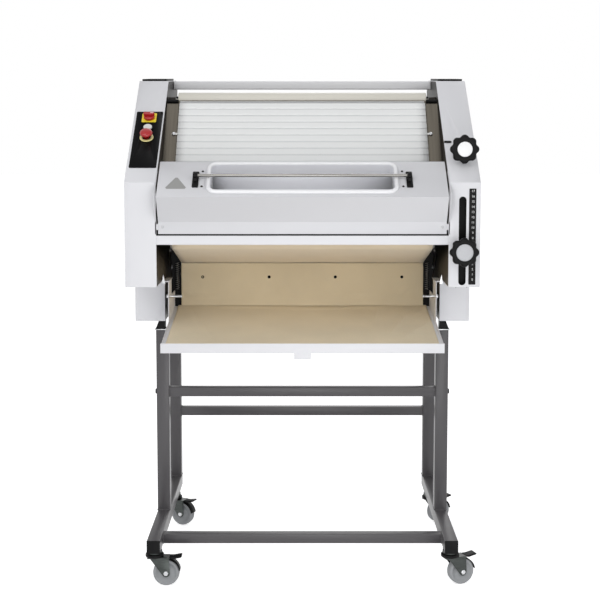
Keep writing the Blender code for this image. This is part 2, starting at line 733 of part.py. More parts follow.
def lower_run(y, below):
    """Height of a line under the belt's lower run, parallel to it."""
    front_r = BELT_FRONT_R + BELT_THICK
    along, half = belt_angles(BELT_FRONT, front_r, BELT_REAR, BELT_REAR_R + BELT_THICK)
    angle = along - half
    reach = front_r + below
    start_y = BELT_FRONT[0] + reach * math.cos(angle)
    start_z = BELT_FRONT[1] + reach * math.sin(angle)
    return start_z + (y - start_y) * math.tan(angle + math.pi / 2)


def make_pressing_board():
    """Board under the belt, curved up round the rear roller, with a front apron."""
    wood = finish("board_wood", (0.55, 0.43, 0.28), 0.6)
    reach = BELT_REAR_R + BELT_THICK + BOARD_GAP
    along, half = belt_angles(BELT_FRONT, BELT_FRONT_R + BELT_THICK, BELT_REAR, BELT_REAR_R + BELT_THICK)
    path = [(BOARD_FRONT, lower_run(BOARD_FRONT, BOARD_GAP))]
    path += arc(BELT_REAR, reach, along - half, math.radians(-8), 12)
    outline = strip(path, -BOARD_THICK)
    board = prism("pressing_board", [outline], 2 * BOARD_HALF, wood, (0, 0, 0), ALONG_X)
    apron_top = lower_run(BOARD_FRONT + BOARD_THICK, BOARD_GAP + 0.002)
    apron_size = (2 * BOARD_HALF, BOARD_THICK, apron_top - APRON_BOTTOM)
    apron_centre = (0, BOARD_FRONT + BOARD_THICK / 2, (apron_top + APRON_BOTTOM) / 2)
    combine(board, block("apron", apron_size, apron_centre, tool=True), 'UNION')
    rail_z = lower_run(RAIL_Y, BOARD_GAP + BOARD_THICK + 0.009)
    rail = block("rail", (2 * (COVER_INNER - GAP), 0.030, 0.024), (0, RAIL_Y, rail_z), tool=True)
    combine(board, rail, 'UNION')


def make_curling_mesh():
    """A woven steel mat hung from a rod, trailing on the belt's upper run."""
    steel = finish("mesh_steel", (0.5, 0.5, 0.5), 0.35, 1.0)
    front_r = BELT_FRONT_R + BELT_THICK
    along, half = belt_angles(BELT_FRONT, front_r, BELT_REAR, BELT_REAR_R + BELT_THICK)
    angle = along + half
    lift = front_r + 0.0008
    slope = math.tan(angle - math.pi / 2)
    first_y = MESH_ROD[0] + 0.030
    last_y = first_y + 0.180
    heights = []
    for y in (first_y, last_y):
        start_y = BELT_FRONT[0] + lift * math.cos(angle)
        heights.append(BELT_FRONT[1] + lift * math.sin(angle) + (y - start_y) * slope)
    path = [(MESH_ROD[0], MESH_ROD[1]), (first_y, heights[0]), (last_y, heights[1])]
    mat = prism("curling_mesh", [strip(path, MESH_THICK)], 2 * MESH_HALF, steel, (0, 0, 0), ALONG_X)
    half_span = COVER_INNER - GAP
    bar = rod("mesh_rod", MESH_ROD_R, -half_span, half_span, location=(0, *MESH_ROD), tool=True, steps=12)
    combine(mat, bar, 'UNION')


# ---------------------------------------------------------------- catch tray
def tray_line(y, below):
    """Height of a line under the canvas, parallel to it."""
    slope = (TRAY_BACK_Z - TRAY_FRONT_Z) / (TRAY_BACK - TRAY_FRONT)
    return TRAY_FRONT_Z + (y - TRAY_FRONT) * slope - below


def make_catch_tray():
    """Sheet tray with a folded rim, side cheeks that hang under the chin, and a grip tab."""
    white = finish("tray_white", (0.76, 0.75, 0.73), 0.35)
    drop = CANVAS_THICK + GAP
    floor_path = [(TRAY_BACK, tray_line(TRAY_BACK, drop)), (TRAY_FRONT, tray_line(TRAY_FRONT, drop)),
                  (TRAY_FRONT, TRAY_RIM_Z)]
    tray = prism("catch_tray", [strip(floor_path, SHEET)], 2 * TRAY_CHEEK + SHEET, white, (0, 0, 0), ALONG_X)
    rim_height = TRAY_FRONT_Z - TRAY_RIM_Z
    rim_centre = (0, TRAY_FRONT, TRAY_RIM_Z + rim_height / 2)
    rim = block("tray_rim", (2 * TRAY_RIM_HALF, SHEET, rim_height), rim_centre, tool=True)
    combine(tray, rim, 'UNION')
    flange_top = CHIN_Z - GAP
    overlap = SHEET / 2
    front = TRAY_FRONT + overlap / 2
    rear = TRAY_BACK - overlap
    cheek_top = flange_top - overlap
    cheek = [(front, TRAY_RIM_Z + 0.004), (rear, tray_line(rear, 0.010)), (rear, 0.850),
             (CHEEK_REAR_Y, 0.850), (CHEEK_REAR_Y, cheek_top), (CHEEK_FRONT_Y, cheek_top),
             (CHEEK_FRONT_Y, 0.777), (front, TRAY_FRONT_Z - overlap)]
    flange_length = CHEEK_REAR_Y - CHEEK_FRONT_Y - 2 * overlap
    for side, sign in SIDES:
        x = sign * (TRAY_CHEEK + SHEET / 2)
        plate = prism("tray_cheek_" + side, [cheek], SHEET, None, (x, 0, 0), ALONG_X, tool=True)
        combine(tray, plate, 'UNION')
        flange_width = FLANGE_REACH - TRAY_CHEEK
        centre = (sign * (TRAY_CHEEK + overlap / 2 + flange_width / 2),
                  (CHEEK_FRONT_Y + CHEEK_REAR_Y) / 2, flange_top - overlap)
        lip = block("tray_flange_" + side, (flange_width, flange_length, SHEET), centre, tool=True)
        combine(tray, lip, 'UNION')
    tab_height = TAB_DROP + 0.004
    tab = block("tray_tab", (TAB_WIDTH, SHEET, tab_height),
                (0, TRAY_FRONT, TRAY_RIM_Z + 0.004 - tab_height / 2), tool=True)
    combine(tray, tab, 'UNION')


def make_catch_canvas():
    """The cloth on the tray's floor."""
    cloth = finish("canvas", (0.52, 0.41, 0.27), 0.9)
    path = [(TRAY_FRONT + 0.001, tray_line(TRAY_FRONT + 0.001, 0)), (TRAY_BACK, tray_line(TRAY_BACK, 0))]
    prism("catch_canvas", [strip(path, -CANVAS_THICK)], 2 * CANVAS_HALF, cloth, (0, 0, 0), ALONG_X)


# ---------------------------------------------------------------- controls
def make_control_panel():
    """Black plate on the left slope, with holes for its three controls."""
    black = finish("panel_black", (0.02, 0.02, 0.021), 0.4)
    middle = (PANEL_LOW + PANEL_HIGH) / 2
    plate = rounded(PANEL_WIDTH, PANEL_HIGH - PANEL_LOW, 0.004)
    loops = [plate]
    for up in (SWITCH_S, START_S, STOP_S):
        loops.append(circle(BUTTON_STEM_R + SHAFT_GAP, (0, up - middle)))
    spot = slope_point(PANEL_X, middle, GAP + PANEL_THICK / 2)
    prism("control_panel", loops, PANEL_THICK, black, spot, ON_SLOPE)


def make_buttons():
    """Main switch knob, start button and mushroom stop button."""
    red = finish("red_plastic", (0.55, 0.02, 0.015), 0.35)
    pale = finish("start_grey", (0.62, 0.62, 0.60), 0.4)
    face = 2 * GAP + PANEL_THICK
    stem = BUTTON_STEM_R
    knob = turned("main_switch_knob",
                  [(0, 0.010), (0.017, 0.010), (0.018, face), (stem, face), (stem, -0.020), (0, -0.020)],
                  red, slope_point(PANEL_X, SWITCH_S, 0), ON_SLOPE)
    grip = block("switch_grip", (0.034, 0.012, 0.014), slope_point(PANEL_X, SWITCH_S, 0.015),
                 bevel=0.002, rotation=ON_SLOPE, tool=True)
    combine(knob, grip, 'UNION')
    travel = 0.0035
    turned("start_button",
           [(0, 0.010), (0.012, 0.010), (0.0135, 0.0085), (0.0135, face + travel), (stem, face + travel),
            (stem, -0.020), (0, -0.020)],
           pale, slope_point(PANEL_X, START_S, 0), ON_SLOPE)
    turned("stop_button",
           [(0, 0.030), (0.010, 0.0295), (0.017, 0.0265), (0.020, 0.021), (0.019, 0.017), (stem, 0.015),
            (stem, -0.020), (0, -0.020)],
           red, slope_point(PANEL_X, STOP_S, 0), ON_SLOPE)


def make_knobs():
    """The two star knobs and the slider that the lower one clamps."""
    black = finish("knob_black", (0.012, 0.012, 0.012), 0.35)
    steel = finish("slider_steel", (0.45, 0.45, 0.45), 0.35, 1.0)
    shape = star(KNOB_R, KNOB_LOBES, KNOB_LOBE_DEPTH)
    x, z = UPPER_KNOB
    upper = prism("upper_knob", [shape], KNOB_THICK, black, (x, UPPER_KNOB_Y, z), ALONG_Y)
    shaft_end = 0.165 - UPPER_KNOB_Y
    hub_top = KNOB_THICK / 2 - 0.002
    hub = [(0, hub_top), (SHAFT_R, hub_top), (SHAFT_R, -shaft_end), (0, -shaft_end)]
    stalk = turned("upper_shaft", hub, None, (x, UPPER_KNOB_Y, z), ALONG_Y, tool=True)
    combine(upper, stalk, 'UNION')
    x, z = LOWER_KNOB
    stud = 0.005
    bore = circle(stud + GAP, steps=16)
    prism("lower_knob", [shape, bore], KNOB_THICK, black, (x, LOWER_KNOB_Y, z), ALONG_Y)
    back = COVER_WALL + GAP
    plate = block("height_slider", (0.040, 0.005, 2 * SLIDER_HALF_Z), (x, back + 0.0025, z), steel)
    nose_end = LOWER_KNOB_Y + KNOB_THICK / 2 + GAP
    nose = block("slider_nose", (SLIDER_BLOCK, back + 0.003 - nose_end, SLIDER_BLOCK),
                 (x, (back + 0.003 + nose_end) / 2, z), tool=True)
    combine(plate, nose, 'UNION')
    pin = rod("slider_stud", stud, -0.001, KNOB_THICK - 0.002, location=(x, nose_end, z),
              rotation=ALONG_Y, tool=True, steps=16)
    combine(plate, pin, 'UNION')


def make_safety_bar():
    """A steel rod over the hopper on two black arms that tilt with it."""
    dark = finish("arm_black", (0.02, 0.02, 0.02), 0.4)
    spot = slope_point(0, SAFETY_UP, SAFETY_LIFT)
    bar = rod("safety_bar", SAFETY_ROD_R, -SAFETY_HALF, SAFETY_HALF, look=dark, location=spot, steps=16)
    foot_lift = GAP
    arm_height = SAFETY_LIFT + SAFETY_ROD_R - foot_lift
    for side, sign in SIDES:
        centre = slope_point(sign * (SAFETY_HALF + 0.003), SAFETY_UP, foot_lift + arm_height / 2)
        size = (SAFETY_ARM_THICK, SAFETY_ARM_LENGTH, arm_height)
        arm = block("safety_arm_" + side, size, centre, rotation=ON_SLOPE, tool=True)
        combine(bar, arm, 'UNION')


# ---------------------------------------------------------------- drive
def make_drive():
    """Gear motor inside the left frame, sprockets and chain outside it."""
    grey = finish("motor_grey", (0.25, 0.26, 0.27), 0.5)
    steel = finish("sprocket_steel", (0.4, 0.4, 0.4), 0.4, 1.0)
    chain_dark = finish("chain_dark", (0.12, 0.11, 0.10), 0.5, 1.0)
    inner_face = -(COVER_INNER - GAP)
    y, z = MOTOR
    motor = block("gear_motor", (GEARBOX, GEARBOX, GEARBOX), (inner_face + GEARBOX / 2, y, z), grey, 0.004)
    can = rod("motor_can", MOTOR_R, inner_face + GEARBOX - 0.002, MOTOR_END, location=(0, y, z), tool=True)
    combine(motor, can, 'UNION')
    outer = SPROCKET_X - SPROCKET_THICK / 2
    inner = SPROCKET_X + SPROCKET_THICK / 2
    shaft_in = inner_face - GAP
    teeth = star(MOTOR_SPROCKET_R, 16, 0.005)
    sprocket = prism("motor_sprocket", [teeth], SPROCKET_THICK, steel, (SPROCKET_X, y, z), ALONG_X)
    stub = rod("motor_shaft", SHAFT_R, outer - 0.004, shaft_in, location=(0, y, z), tool=True)
    combine(sprocket, stub, 'UNION')
    y, z = BELT_REAR
    wheel = [star(BELT_SPROCKET_R, 22, 0.005), circle(SHAFT_R + GAP)]
    prism("belt_sprocket", wheel, SPROCKET_THICK, steel, (SPROCKET_X, y, z), ALONG_X)
    inner_loop = belt_loop(MOTOR, MOTOR_SPROCKET_R + SHAFT_GAP, BELT_REAR, BELT_SPROCKET_R + SHAFT_GAP)
    outer_loop = belt_loop(MOTOR, MOTOR_SPROCKET_R + CHAIN_HEIGHT, BELT_REAR, BELT_SPROCKET_R + CHAIN_HEIGHT)
    prism("drive_chain", [outer_loop, inner_loop], inner - outer, chain_dark, (SPROCKET_X, 0, 0), ALONG_X)


clear_scene()
PARTS = new_collection("dough_sheeter")
CUTTERS = new_collection("cutters")
ORIGIN = add_empty("machine_origin", (0, BODY_FRONT, 0))
make_stand()
make_casters()
make_side_frames()
make_side_covers()
make_cross_pieces()
make_front_guard()
make_slide()
make_rollers()
make_roller_carriage()
make_belt()
make_pressing_board()
make_curling_mesh()
make_catch_tray()
make_catch_canvas()
make_control_panel()
make_buttons()
make_knobs()
make_safety_bar()
make_drive()
print("nodes:", sum(1 for obj in PARTS.objects if obj.type == 'MESH'))
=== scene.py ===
# %% [markdown]
# # A long-loaf dough moulder
#
# The machine sheets a piece of dough between two rollers, curls it under a woven mat, rolls it long between a felt
# belt and a board, and drops it on a canvas tray. The working solids are already made. This lesson gives them their
# looks: painted sheet metal with folded edges, felt and canvas, moulded knobs, casters and small fasteners.

# %% Load the fixed frame
import json
import math

import bmesh
import bpy
import numpy as np
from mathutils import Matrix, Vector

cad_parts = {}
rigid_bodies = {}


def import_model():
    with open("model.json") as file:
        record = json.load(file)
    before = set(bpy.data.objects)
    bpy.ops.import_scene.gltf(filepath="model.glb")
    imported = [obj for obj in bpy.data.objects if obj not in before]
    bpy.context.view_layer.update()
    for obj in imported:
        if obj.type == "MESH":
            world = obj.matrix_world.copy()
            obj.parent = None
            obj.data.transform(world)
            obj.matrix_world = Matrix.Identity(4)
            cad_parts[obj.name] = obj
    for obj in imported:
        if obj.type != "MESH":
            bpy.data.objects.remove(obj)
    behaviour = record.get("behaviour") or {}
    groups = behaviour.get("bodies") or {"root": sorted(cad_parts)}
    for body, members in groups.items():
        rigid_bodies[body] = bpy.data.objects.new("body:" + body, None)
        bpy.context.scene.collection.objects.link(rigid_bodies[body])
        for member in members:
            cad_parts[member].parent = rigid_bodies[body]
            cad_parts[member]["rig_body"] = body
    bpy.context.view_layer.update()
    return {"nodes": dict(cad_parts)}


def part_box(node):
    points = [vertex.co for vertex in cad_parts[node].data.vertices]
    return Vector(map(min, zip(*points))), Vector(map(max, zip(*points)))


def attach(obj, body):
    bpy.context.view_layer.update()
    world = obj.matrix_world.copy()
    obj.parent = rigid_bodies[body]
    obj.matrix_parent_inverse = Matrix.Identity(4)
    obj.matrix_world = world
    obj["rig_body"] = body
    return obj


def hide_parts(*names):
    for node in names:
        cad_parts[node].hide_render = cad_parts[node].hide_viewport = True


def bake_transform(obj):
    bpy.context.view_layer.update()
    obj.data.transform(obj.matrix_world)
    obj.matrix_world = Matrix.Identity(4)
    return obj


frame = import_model()
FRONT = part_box("side_cover_left")[0].y
SIDES = (("left", -1), ("right", 1))

# %% [markdown]
# ## Shared effects as node groups
#
# Three effects repeat on this machine, so each is a node group with named inputs. `coat_speckle` is the slight colour
# drift and orange peel of sprayed paint and moulded plastic. `brushed_grain` stretches noise along one direction, as
# sanding does on stainless sheet. `plain_weave` crosses warp and weft on the piece's own UV map, which is in metres.


# %% Group tools
COLOUR, FLOAT, VECTOR = 'NodeSocketColor', 'NodeSocketFloat', 'NodeSocketVector'


def new_group(name, inputs, outputs):
    """A shader node group, its named input values and its named results.

    inputs are (name, type, default) and outputs are (name, type)."""
    group = bpy.data.node_groups.new(name, 'ShaderNodeTree')
    for label, kind, value in inputs:
        socket = group.interface.new_socket(name=label, in_out='INPUT', socket_type=kind)
        socket.default_value = value
    for label, kind in outputs:
        group.interface.new_socket(name=label, in_out='OUTPUT', socket_type=kind)
    return group, group.nodes.new("NodeGroupInput").outputs, group.nodes.new("NodeGroupOutput").inputs


def feed(tree, value, socket):
    """Give a socket a number, or a link from another socket."""
    if isinstance(value, (int, float)):
        socket.default_value = value
    else:
        tree.links.new(value, socket)


def add_math(tree, operation, first, second=None):
    """A Math node on one or two sockets or numbers; returns its output socket."""
    node = tree.nodes.new("ShaderNodeMath")
    node.operation = operation
    feed(tree, first, node.inputs[0])
    if second is not None:
        feed(tree, second, node.inputs[1])
    return node.outputs[0]


def add_noise(tree, vector, scale, detail):
    """A Noise texture; returns its factor socket."""
    node = tree.nodes.new("ShaderNodeTexNoise")
    node.inputs["Detail"].default_value = detail
    tree.links.new(vector, node.inputs["Vector"])
    feed(tree, scale, node.inputs["Scale"])
    return node.outputs[0]


def add_shade(tree, colour, amount, factor):
    """Colour darkened where factor is low, by amount at most; returns a colour socket."""
    node = tree.nodes.new("ShaderNodeMix")
    node.data_type = 'RGBA'
    node.blend_type = 'MULTIPLY'
    tree.links.new(colour, node.inputs["A"])
    grey = tree.nodes.new("ShaderNodeCombineColor")
    level = add_math(tree, 'ADD', add_math(tree, 'MULTIPLY', factor, amount), add_math(tree, 'SUBTRACT', 1.0, amount))
    for index in range(3):
        tree.links.new(level, grey.inputs[index])
    node.inputs["Factor"].default_value = 1.0
    tree.links.new(grey.outputs[0], node.inputs["B"])
    return node.outputs["Result"]


def add_bump(tree, height, distance):
    """A Bump node; returns its normal socket."""
    node = tree.nodes.new("ShaderNodeBump")
    node.inputs["Strength"].default_value = 1.0
    node.inputs["Distance"].default_value = distance
    tree.links.new(height, node.inputs["Height"])
    return node.outputs["Normal"]


def add_spread(tree, entry, noise):
    """The group's roughness, varied by a noise; returns its socket."""
    lift = add_math(tree, 'MULTIPLY', add_math(tree, 'SUBTRACT', noise, 0.5), entry["Spread"])
    return add_math(tree, 'ADD', entry["Roughness"], lift)


# %% Paint and plastic speckle
SPECKLE, entry, leave = new_group(
    "coat_speckle",
    [("Colour", COLOUR, (0.8, 0.8, 0.8, 1)), ("Drift", FLOAT, 0.06), ("Peel Scale", FLOAT, 700.0),
     ("Roughness", FLOAT, 0.4), ("Spread", FLOAT, 0.08)],
    [("Colour", COLOUR), ("Roughness", FLOAT), ("Normal", VECTOR)])
place = SPECKLE.nodes.new("ShaderNodeTexCoord").outputs["Object"]
cloudy = add_noise(SPECKLE, place, 3.0, 4.0)
SPECKLE.links.new(add_shade(SPECKLE, entry["Colour"], entry["Drift"], cloudy), leave["Colour"])
smudge = add_noise(SPECKLE, place, 18.0, 3.0)
SPECKLE.links.new(add_spread(SPECKLE, entry, smudge), leave["Roughness"])
peel = add_noise(SPECKLE, place, entry["Peel Scale"], 1.0)
SPECKLE.links.new(add_bump(SPECKLE, peel, 0.00006), leave["Normal"])
print("group", SPECKLE.name)

# %% Brushed grain
BRUSHED, entry, leave = new_group(
    "brushed_grain",
    [("Colour", COLOUR, (0.6, 0.6, 0.6, 1)), ("Streak", FLOAT, 0.15), ("Roughness", FLOAT, 0.3),
     ("Spread", FLOAT, 0.15), ("Stretch", VECTOR, (4.0, 400.0, 400.0))],
    [("Colour", COLOUR), ("Roughness", FLOAT), ("Normal", VECTOR)])
stretch = BRUSHED.nodes.new("ShaderNodeVectorMath")
stretch.operation = 'MULTIPLY'
BRUSHED.links.new(BRUSHED.nodes.new("ShaderNodeTexCoord").outputs["Object"], stretch.inputs[0])
BRUSHED.links.new(entry["Stretch"], stretch.inputs[1])
streak = add_noise(BRUSHED, stretch.outputs[0], 1.0, 3.0)
BRUSHED.links.new(add_shade(BRUSHED, entry["Colour"], entry["Streak"], streak), leave["Colour"])
BRUSHED.links.new(add_spread(BRUSHED, entry, streak), leave["Roughness"])
BRUSHED.links.new(add_bump(BRUSHED, streak, 0.00004), leave["Normal"])
print("group", BRUSHED.name)

# %% Plain weave
WEAVE, entry, leave = new_group(
    "plain_weave",
    [("Colour", COLOUR, (0.7, 0.6, 0.4, 1)), ("Thread", FLOAT, 0.0011), ("Contrast", FLOAT, 0.25),
     ("Stain", FLOAT, 0.12)],
    [("Colour", COLOUR), ("Normal", VECTOR)])
uv = WEAVE.nodes.new("ShaderNodeTexCoord").outputs["UV"]
axes = WEAVE.nodes.new("ShaderNodeSeparateXYZ")
WEAVE.links.new(uv, axes.inputs[0])
turns = [add_math(WEAVE, 'DIVIDE', axes.outputs[index], entry["Thread"]) for index in range(2)]
sines = [add_math(WEAVE, 'SINE', add_math(WEAVE, 'MULTIPLY', turn, math.pi)) for turn in turns]
warp, weft = (add_math(WEAVE, 'ABSOLUTE', sine) for sine in sines)
over = add_math(WEAVE, 'GREATER_THAN', add_math(WEAVE, 'MULTIPLY', *sines), 0.0)
under = add_math(WEAVE, 'SUBTRACT', 1.0, over)
height = add_math(WEAVE, 'ADD', add_math(WEAVE, 'MULTIPLY', warp, over), add_math(WEAVE, 'MULTIPLY', weft, under))
threads = add_shade(WEAVE, entry["Colour"], entry["Contrast"], height)
WEAVE.links.new(add_shade(WEAVE, threads, entry["Stain"], add_noise(WEAVE, uv, 6.0, 5.0)), leave["Colour"])
WEAVE.links.new(add_bump(WEAVE, height, 0.0003), leave["Normal"])
print("group", WEAVE.name)

# %% [markdown]
# ## Camera and light
#
# A long lens stands four metres off, a little above the hopper, and looks slightly down. A small lens shift keeps the
# posts nearly upright. The light is a soft studio tent: a white world and four large area lamps, so that white paint
# keeps its own colour and the folds still show. The low front lamp reaches in under the belt.

# %% Camera
IMAGE_WIDTH = 600
FOCAL_PIXELS = 1264.3
SENSOR_WIDTH = 36.0
CAMERA_PLACE = (-0.0073, FRONT - 3.7616, 1.3914)
CAMERA_PITCH = math.radians(5.258)
CAMERA_SHIFT = -0.10

camera_data = bpy.data.cameras.new("camera")
camera_data.sensor_width = SENSOR_WIDTH
camera_data.lens = FOCAL_PIXELS / IMAGE_WIDTH * SENSOR_WIDTH
camera_data.shift_y = CAMERA_SHIFT
camera = bpy.data.objects.new("camera", camera_data)
camera.location = CAMERA_PLACE
camera.rotation_euler = (math.pi / 2 - CAMERA_PITCH, 0, 0)
bpy.context.scene.collection.objects.link(camera)
bpy.context.scene.camera = camera
print("lens", round(camera_data.lens, 1), "mm")


# %% Lamps and world
def add_lamp(name, place, aim, size, power):
    """A square area lamp at a place, turned towards a point."""
    data = bpy.data.lights.new(name, 'AREA')
    data.size = size
    data.energy = power
    lamp = bpy.data.objects.new(name, data)
    lamp.location = place
    toward = np.array(aim, float) - np.array(place, float)
    lamp.rotation_euler = (math.atan2(math.hypot(toward[0], toward[1]), -toward[2]), 0,
                           math.atan2(-toward[0], toward[1]))
    bpy.context.scene.collection.objects.link(lamp)


def sees_white(tree):
    """1 for camera, glossy and transmission rays, else 0; returns the socket."""
    rays = tree.nodes.new("ShaderNodeLightPath").outputs
    either = add_math(tree, 'MAXIMUM', rays["Is Camera Ray"], rays["Is Glossy Ray"])
    return add_math(tree, 'MAXIMUM', either, rays["Is Transmission Ray"])


WORLD_LIGHT = 0.50
add_lamp("key", (-1.6, -3.4, 3.2), (0, 0, 1.0), 2.4, 51)
add_lamp("fill", (2.2, -3.0, 2.0), (0, 0, 0.9), 2.4, 19)
add_lamp("low_front", (0.2, -2.6, 0.45), (0, 0.3, 0.88), 1.2, 14)
add_lamp("rear", (0.4, 3.0, 3.2), (0, 0, 1.0), 2.4, 32)

world = bpy.data.worlds.new("tent")
bpy.context.scene.world = world
world.use_nodes = True
tree = world.node_tree
tree.nodes.clear()
mixer = tree.nodes.new("ShaderNodeMixShader")
tree.links.new(sees_white(tree), mixer.inputs[0])
for slot, colour, strength in ((1, (0.97, 0.98, 1.0, 1), WORLD_LIGHT), (2, (1, 1, 1, 1), 1.0)):
    background = tree.nodes.new("ShaderNodeBackground")
    background.inputs["Color"].default_value = colour
    background.inputs["Strength"].default_value = strength
    tree.links.new(background.outputs[0], mixer.inputs[slot])
tree.links.new(mixer.outputs[0], tree.nodes.new("ShaderNodeOutputWorld").inputs["Surface"])
bpy.context.scene.view_settings.view_transform = 'Standard'

# %% [markdown]
# ## The finishes
#
# Each finish is one Principled BSDF fed by a group. Colours are written as the eye sees them, in 0 to 255, and turned
# into linear light by one small function, so that a colour can be read off a paint card.


# %% Finish makers
def linear(red, green, blue):
    """A colour in 0 to 255 turned into linear light."""
    values = np.array([red, green, blue]) / 255
    return (*np.where(values <= 0.04045, values / 12.92, ((values + 0.055) / 1.055) ** 2.4), 1.0)


def grouped_material(name, group, values, own):
    """A Principled BSDF whose colour, normal and (where it has one) roughness come from a group.

    values are the group's inputs and own are the shader's."""
    material = bpy.data.materials.new(name)
    material.use_nodes = True
    tree = material.node_tree
    shader = tree.nodes["Principled BSDF"].inputs
    effect = tree.nodes.new("ShaderNodeGroup")
    effect.node_tree = group
    for sockets, settings in ((effect.inputs, values), (shader, own)):
        for label, value in settings.items():
            sockets[label].default_value = value
    for result in effect.outputs:
        tree.links.new(result, shader["Base Color" if result.name == "Colour" else result.name])
    return material


def paint(name, colour, roughness, drift=0.05, peel=700.0, coat=0.0, specular=0.5):
    """Sprayed paint or moulded plastic."""
    values = {"Colour": linear(*colour), "Roughness": roughness, "Drift": drift, "Peel Scale": peel}
    return grouped_material(name, SPECKLE, values, {"Coat Weight": coat, "Specular IOR Level": specular})


def metal(name, colour, roughness, stretch=(4.0, 400.0, 400.0), streak=0.15):
    """Bare metal with a grain along its least stretched axis."""
    values = {"Colour": linear(*colour), "Roughness": roughness, "Stretch": stretch, "Streak": streak}
    return grouped_material(name, BRUSHED, values, {"Metallic": 1.0})


def cloth(name, colour, thread, contrast, stain, sheen):
    """Woven or felted cloth on a UV map in metres."""
    values = {"Colour": linear(*colour), "Thread": thread, "Contrast": contrast, "Stain": stain}
    return grouped_material(name, WEAVE, values, {"Sheen Weight": sheen, "Roughness": 0.95})


# %% The finishes themselves
WHITE_PAINT = paint("white_powder_coat", (221, 221, 224), 0.45)
GUARD_WHITE = paint("guard_powder_coat", (210, 210, 213), 0.45)
# painted light: a brighter copy of the white paint, for the hopper lip's highlight and the top beam's lit face
LIT_WHITE_PAINT = paint("white_paint_painted_light", (238, 238, 240), 0.35, coat=0.2)
# painted light and shade: the hopper's inside is paler than the guard so it reads bright though it lies in shade, with
# the bluish cast of that shade painted in
HOPPER_PAINTED_LIGHT = paint("hopper_painted_light", (236, 237, 243), 0.38, coat=0.15)
STAND_GREY = paint("stand_powder_coat", (82, 80, 82), 0.34, drift=0.14, peel=500.0, specular=0.4)
BLACK_PLASTIC = paint("black_moulded", (9, 9, 10), 0.5, drift=0.2, peel=900.0, specular=0.15)
BLACK_SATIN = paint("black_satin_paint", (12, 11, 11), 0.5, drift=0.15, specular=0.15)
PANEL_BLACK = paint("panel_black", (5, 5, 6), 0.5, drift=0.1, specular=0.08)
SLIDE_WHITE = paint("slide_white", (236, 237, 236), 0.42)
# painted shade: a darker grey for the slide's grooves and its top edge, where shade falls
SLIDE_SHADE_GREY = paint("slide_painted_shade_grey", (206, 207, 208), 0.5)
ROLLER_CREAM = paint("roller_cream", (222, 218, 207), 0.45, drift=0.06, peel=300.0)
RED_PLASTIC = paint("red_gloss", (172, 16, 22), 0.3, drift=0.08, coat=0.15)
YELLOW_PLATE = paint("yellow_plate", (238, 214, 44), 0.4)
RING_CREAM = paint("ring_cream", (225, 215, 150), 0.4)
PALE_PLASTIC = paint("pale_button", (226, 226, 222), 0.3, coat=0.3)
DISC_WHITE = paint("knob_disc_white", (244, 244, 244), 0.35)
DISC_GREY = paint("knob_disc_grey", (186, 187, 190), 0.4)
WHEEL_GREY = paint("wheel_grey", (160, 162, 164), 0.6, drift=0.25, peel=260.0, specular=0.3)
HUB_GREY = paint("hub_grey", (120, 122, 126), 0.5, drift=0.1)
NEUTRAL_STICKER = paint("bare_sticker", (150, 150, 148), 0.4)
DIGIT_WHITE = paint("scale_digits", (232, 232, 232), 0.5, drift=0.02)
BOARD_WOOD = paint("board_faced", (196, 178, 148), 0.7, drift=0.2, peel=250.0)
# painted shade: the frame steel is darkened to the dark of the shaded gaps beside the belt and the mouth
SHADED_FRAME_STEEL = metal("frame_steel_painted_shade", (52, 49, 46), 0.46, (30.0, 300.0, 12.0), 0.3)
FORK_STEEL = metal("fork_plate", (84, 88, 86), 0.30, (40.0, 40.0, 220.0), 0.6)
STAINLESS = metal("stainless_sheet", (122, 116, 106), 0.24, (140.0, 3.0, 3.0), 0.55)
ZINC = metal("zinc_plate", (205, 206, 208), 0.32, (60.0, 60.0, 60.0), 0.25)
ROLLER_STEEL = metal("roller_tube", (150, 148, 145), 0.35, (6.0, 300.0, 300.0), 0.2)
ROD_STEEL = metal("bar_steel", (158, 156, 152), 0.28, (6.0, 300.0, 300.0), 0.2)
CHAIN_STEEL = metal("chain_oiled", (92, 88, 82), 0.4, (120.0, 120.0, 120.0), 0.5)
MOTOR_CAST = paint("motor_cast", (122, 126, 130), 0.5, drift=0.15, peel=250.0)
CANVAS = cloth("linen_canvas", (248, 232, 199), 0.0011, 0.12, 0.24, 0.15)
FELT = cloth("wool_felt", (242, 225, 196), 0.0024, 0.06, 0.12, 0.3)
MESH_STEEL = cloth("woven_steel", (150, 150, 150), 0.006, 0.6, 0.1, 0.0)
print(len(bpy.data.materials), "materials")

# %% [markdown]
# ## Surfaces from numpy
#
# A turned knob, a bent sheet and a length of cloth are all one idea: a grid of points, where rows follow one parameter
# and columns the other. `surface` joins such a grid with quads. Two special cases get their own names: `turned` carries
# a profile round an axis, and `extruded` carries a flat outline along a straight line. Points are given in machine
# coordinates, where Y starts at the front face of the side covers, and one function moves them into place. A new piece
# that needs rounded edges, or that stands in for a CAD node, says so as it is made, and `placed` sees to it.


# %% Frames of reference
def machine_box(node):
    """A CAD node's lowest and highest corners, with Y from the covers' front face."""
    low, high = (np.array(corner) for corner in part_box(node))
    return low - [0, FRONT, 0], high - [0, FRONT, 0]


def facing(origin, across, up):
    """A local frame: its origin, and rows for across, up and out (across x up)."""
    across, up = np.array(across, float), np.array(up, float)
    return np.array(origin, float), np.stack([across, up, np.cross(across, up)])


SLOPE = math.radians(37.84)
SLOPE_FOOT_Z = 1.217


def on_slope(x, up, lift=0.0):
    """A frame on the sloping face: across is +X, up is up the slope, out is away from it."""
    cosine, sine = math.cos(SLOPE), math.sin(SLOPE)
    origin = (x, up * cosine - lift * sine, SLOPE_FOOT_Z + up * sine + lift * cosine)
    return facing(origin, (1, 0, 0), (0, cosine, sine))


